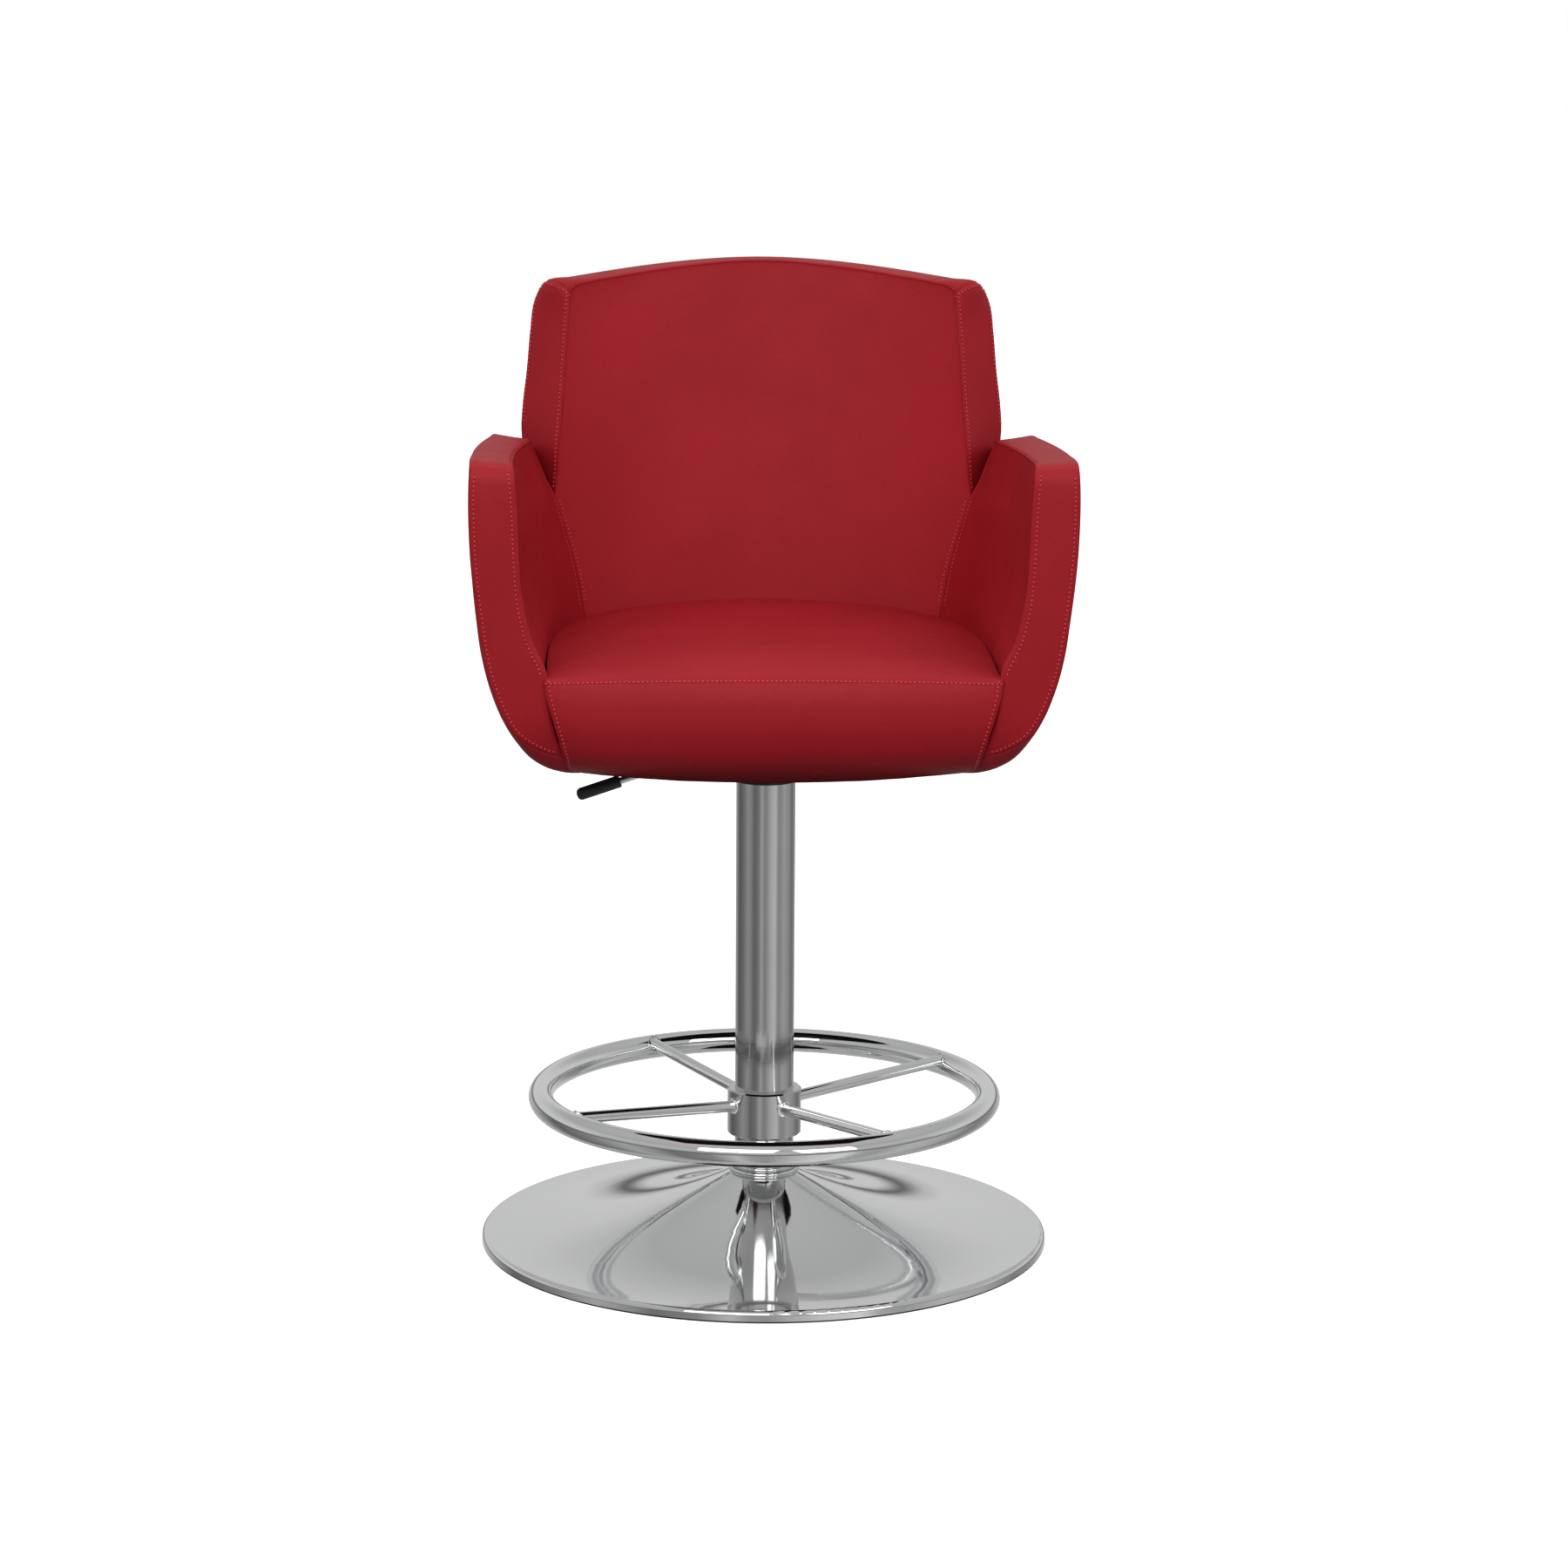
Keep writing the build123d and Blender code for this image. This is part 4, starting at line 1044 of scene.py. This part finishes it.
def bead(angle, surface, start_r):
    """A weld bead round a spoke where it meets a surface, given as radius for height."""
    radial = np.array([math.cos(angle), math.sin(angle), 0.0])
    across = np.array([-math.sin(angle), math.cos(angle), 0.0])
    middle_z = SPOKE_START_Z + SPOKE_RISE * (start_r - SPOKE_START_R) / SPOKE_RUN
    points = []
    for i in range(BEAD_TURNS):
        t = 2 * math.pi * i / BEAD_TURNS
        side = (SPOKE_R + 0.2) * math.cos(t)
        z = middle_z + (SPOKE_R + 0.2) * math.sin(t)
        place = radial * math.sqrt(surface(z) ** 2 - side ** 2) + across * side + np.array([0, 0, z])
        out = across * math.cos(t) + np.array([0, 0, math.sin(t)])
        thick = BEAD_R + 0.28 * math.sin(t * 13) + 0.2 * math.sin(t * 3 + angle)
        for k in range(BEAD_SIDES):
            turn = 2 * math.pi * k / BEAD_SIDES
            points.append(place + out * thick * math.cos(turn) + radial * thick * 0.8 * math.sin(turn))
    return points


def ring_inside(z):
    """Radius of the foot ring's inner surface at a height."""
    return RING_R - math.sqrt(max(RING_TUBE_R ** 2 - (z - RING_Z) ** 2, 1.0))


def weld_beads():
    points, faces = [], []
    for degrees in SPOKE_ANGLES:
        for surface, start_r in ((lambda z: COLLAR_R, COLLAR_R), (ring_inside, SPOKE_END_R)):
            loop = ring_faces(BEAD_TURNS, BEAD_SIDES)
            faces.extend([tuple(i + len(points) for i in face) for face in loop])
            points.extend(bead(math.radians(degrees), surface, start_r))
    return mesh_object("weld_beads", points, faces)


beads = weld_beads()
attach(beads, "base")
dress(beads, "chrome")


# ------ finishes of the CAD parts

for entry in frame["record"]["subparts"]:
    for place in frame["nodes"][entry["node"]].material_slots:
        place.material = MATERIALS[entry["material_slot"]]


# ------ floor, light and camera

WHITE = (1.0, 1.0, 1.0, 1.0)
FLOOR_HALF = 14.0
# Radius and height of the black card under the seat, in metres, and its number of sides.
CARD_R, CARD_Z, CARD_SIDES = 0.26, 0.506, 48
SEAT_MIDDLE = (0.0, 0.0, 0.7)
# The camera: lens in millimetres, place in metres, and turn, pitch and roll in degrees.
CAMERA_LENS = 91.8
CAMERA_PLACE = (-0.1137, -3.9784, 1.205)
CAMERA_ANGLES = (1.9, 10.39, 0.35)
# Brightness of the studio below the horizon, by direction in degrees from the camera's side.
STRIPES = [(-180, 0.60), (-150, 0.42), (-122, 0.13), (-95, 0.22), (-72, 0.38), (-58, 0.30), (-46, 0.17),
           (-28, 0.24), (-15, 0.50), (-8, 0.34), (0, 0.30), (10, 0.44), (22, 0.58), (38, 0.68), (46, 0.40),
           (56, 0.34), (75, 0.48), (100, 0.38), (120, 0.22), (140, 0.30), (160, 0.55), (180, 0.60)]


def sheet(name, points, material):
    """One flat face, for the studio."""
    mesh = bpy.data.meshes.new(name)
    mesh.from_pydata(points, [], [tuple(range(len(points)))])
    mesh.materials.append(material)
    return linked(name, mesh)


def floor():
    """A pale sweep. It is shown nearly white, and it throws back less light than a white
    floor would, so that the underside of the seat stays dark."""
    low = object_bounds()[0]
    material, tree, shader = new_material("pale_floor")
    seen = node(tree, "ShaderNodeLightPath", {}).outputs["Is Camera Ray"]
    pale = ramp(tree, noise(tree, place_in(tree), 2.0), [(0.3, grey(0.89)), (0.7, grey(0.91))])
    glow = node(tree, "ShaderNodeMath", {0: seen, 1: 0.62}, operation="MULTIPLY")
    feed(tree, shader, {
        "Base Color": mix_colour(tree, seen, (*grey(0.10), 1.0), pale),
        "Emission Strength": glow.outputs["Value"], "Emission Color": WHITE,
        "Roughness": 0.9, "Specular IOR Level": 0.1,
    })
    corners = ((-1, -1), (1, -1), (1, 1), (-1, 1))
    made = sheet("floor", [(x * FLOOR_HALF, y * FLOOR_HALF, low[2]) for x, y in corners], material)
    made.visible_glossy = False
    made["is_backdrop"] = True


def black_card():
    """A black flag that only the polished metal sees, so that it reflects grey and not red."""
    material, tree, shader = new_material("black_flock")
    tone = ramp(tree, noise(tree, place_in(tree), 30.0), [(0.3, grey(0.02)), (0.7, grey(0.03))])
    feed(tree, shader, {"Base Color": tone, "Roughness": 1.0, "Specular IOR Level": 0.0})
    turns = np.arange(CARD_SIDES) * 2 * math.pi / CARD_SIDES
    points = [(CARD_R * math.cos(t), CARD_R * math.sin(t), CARD_Z) for t in turns]
    card = sheet("black_card", points, material)
    card.visible_camera = card.visible_diffuse = card.visible_shadow = card.visible_transmission = False
    card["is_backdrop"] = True


def area_light(name, place, size, power):
    light = bpy.data.lights.new(name, "AREA")
    light.shape, light.size, light.size_y = "RECTANGLE", *size
    light.energy = power
    made = linked(name, light)
    made.location = place
    made.rotation_euler = (Vector(SEAT_MIDDLE) - Vector(place)).to_track_quat("-Z", "Y").to_euler()
    made.visible_camera = False


def world_light():
    """White where the camera looks past the object. The polished metal reflects a studio
    with a bright back wall, and darker and lighter upright stripes below the horizon."""
    world = bpy.data.worlds.new("studio")
    bpy.context.scene.world = world
    world.use_nodes = True
    tree = world.node_tree
    sight = node(tree, "ShaderNodeTexCoord", {}).outputs["Generated"]
    split = node(tree, "ShaderNodeSeparateXYZ", {"Vector": sight}).outputs
    lift = map_range(tree, split["Z"], -1.0, 1.0)
    toward = node(tree, "ShaderNodeMath", {0: split["Y"], 1: -1.0}, operation="MULTIPLY").outputs["Value"]
    turn = node(tree, "ShaderNodeMath", {0: split["X"], 1: toward}, operation="ARCTAN2").outputs["Value"]
    stripes = ramp(tree, map_range(tree, turn, -math.pi, math.pi),
                   [(at / 360.0 + 0.5, grey(value)) for at, value in STRIPES])
    upper = ramp(tree, lift, [
        (0.49, grey(0.06)), (0.52, grey(0.12)), (0.548, grey(0.50)), (0.572, grey(0.62)),
        (0.66, grey(0.60)), (0.78, grey(0.42)), (1.0, grey(0.50)),
    ])
    front = ramp(tree, lift, [
        (0.49, grey(0.06)), (0.53, grey(0.14)), (0.58, grey(0.38)), (0.70, grey(0.52)), (0.80, grey(0.40)),
        (1.0, grey(0.50)),
    ])
    soft = ramp(tree, lift, [(0.0, grey(0.05)), (0.46, grey(0.11)), (0.54, grey(0.62)), (1.0, grey(1.14))])
    behind = map_range(tree, split["Y"], -0.25, 0.25, kind="SMOOTHSTEP")
    horizon = map_range(tree, split["Z"], -0.04, 0.05, kind="SMOOTHSTEP")
    studio = mix_colour(tree, horizon, stripes, mix_colour(tree, behind, front, upper))
    path = node(tree, "ShaderNodeLightPath", {}).outputs
    lit = mix_colour(tree, path["Is Glossy Ray"], soft, studio)
    shown = mix_colour(tree, path["Is Camera Ray"], lit, WHITE)
    feed(tree, tree.nodes["Background"], {"Color": shown, "Strength": 1.0})


def camera():
    data = bpy.data.cameras.new("camera")
    data.lens, data.sensor_width = CAMERA_LENS, 36.0
    data.clip_end = 100.0
    made = linked("camera", data)
    turn, pitch, roll = (math.radians(angle) for angle in CAMERA_ANGLES)
    forward = Vector((math.sin(turn) * math.cos(pitch), math.cos(turn) * math.cos(pitch), -math.sin(pitch)))
    right = forward.cross(Vector((0, 0, 1))).normalized()
    up = right.cross(forward)
    right, up = (right * math.cos(roll) + up * math.sin(roll), up * math.cos(roll) - right * math.sin(roll))
    made.matrix_world = Matrix.Translation(CAMERA_PLACE) @ Matrix(
        (right, up, -forward)).transposed().to_4x4()
    bpy.context.scene.camera = made


floor()
world_light()
area_light("key", (-0.9, -3.2, 2.6), (2.4, 1.8), 42.0)
area_light("fill", (1.7, -3.0, 2.2), (1.8, 1.8), 20.0)
black_card()
camera()
bpy.context.scene.view_settings.view_transform = "Standard"
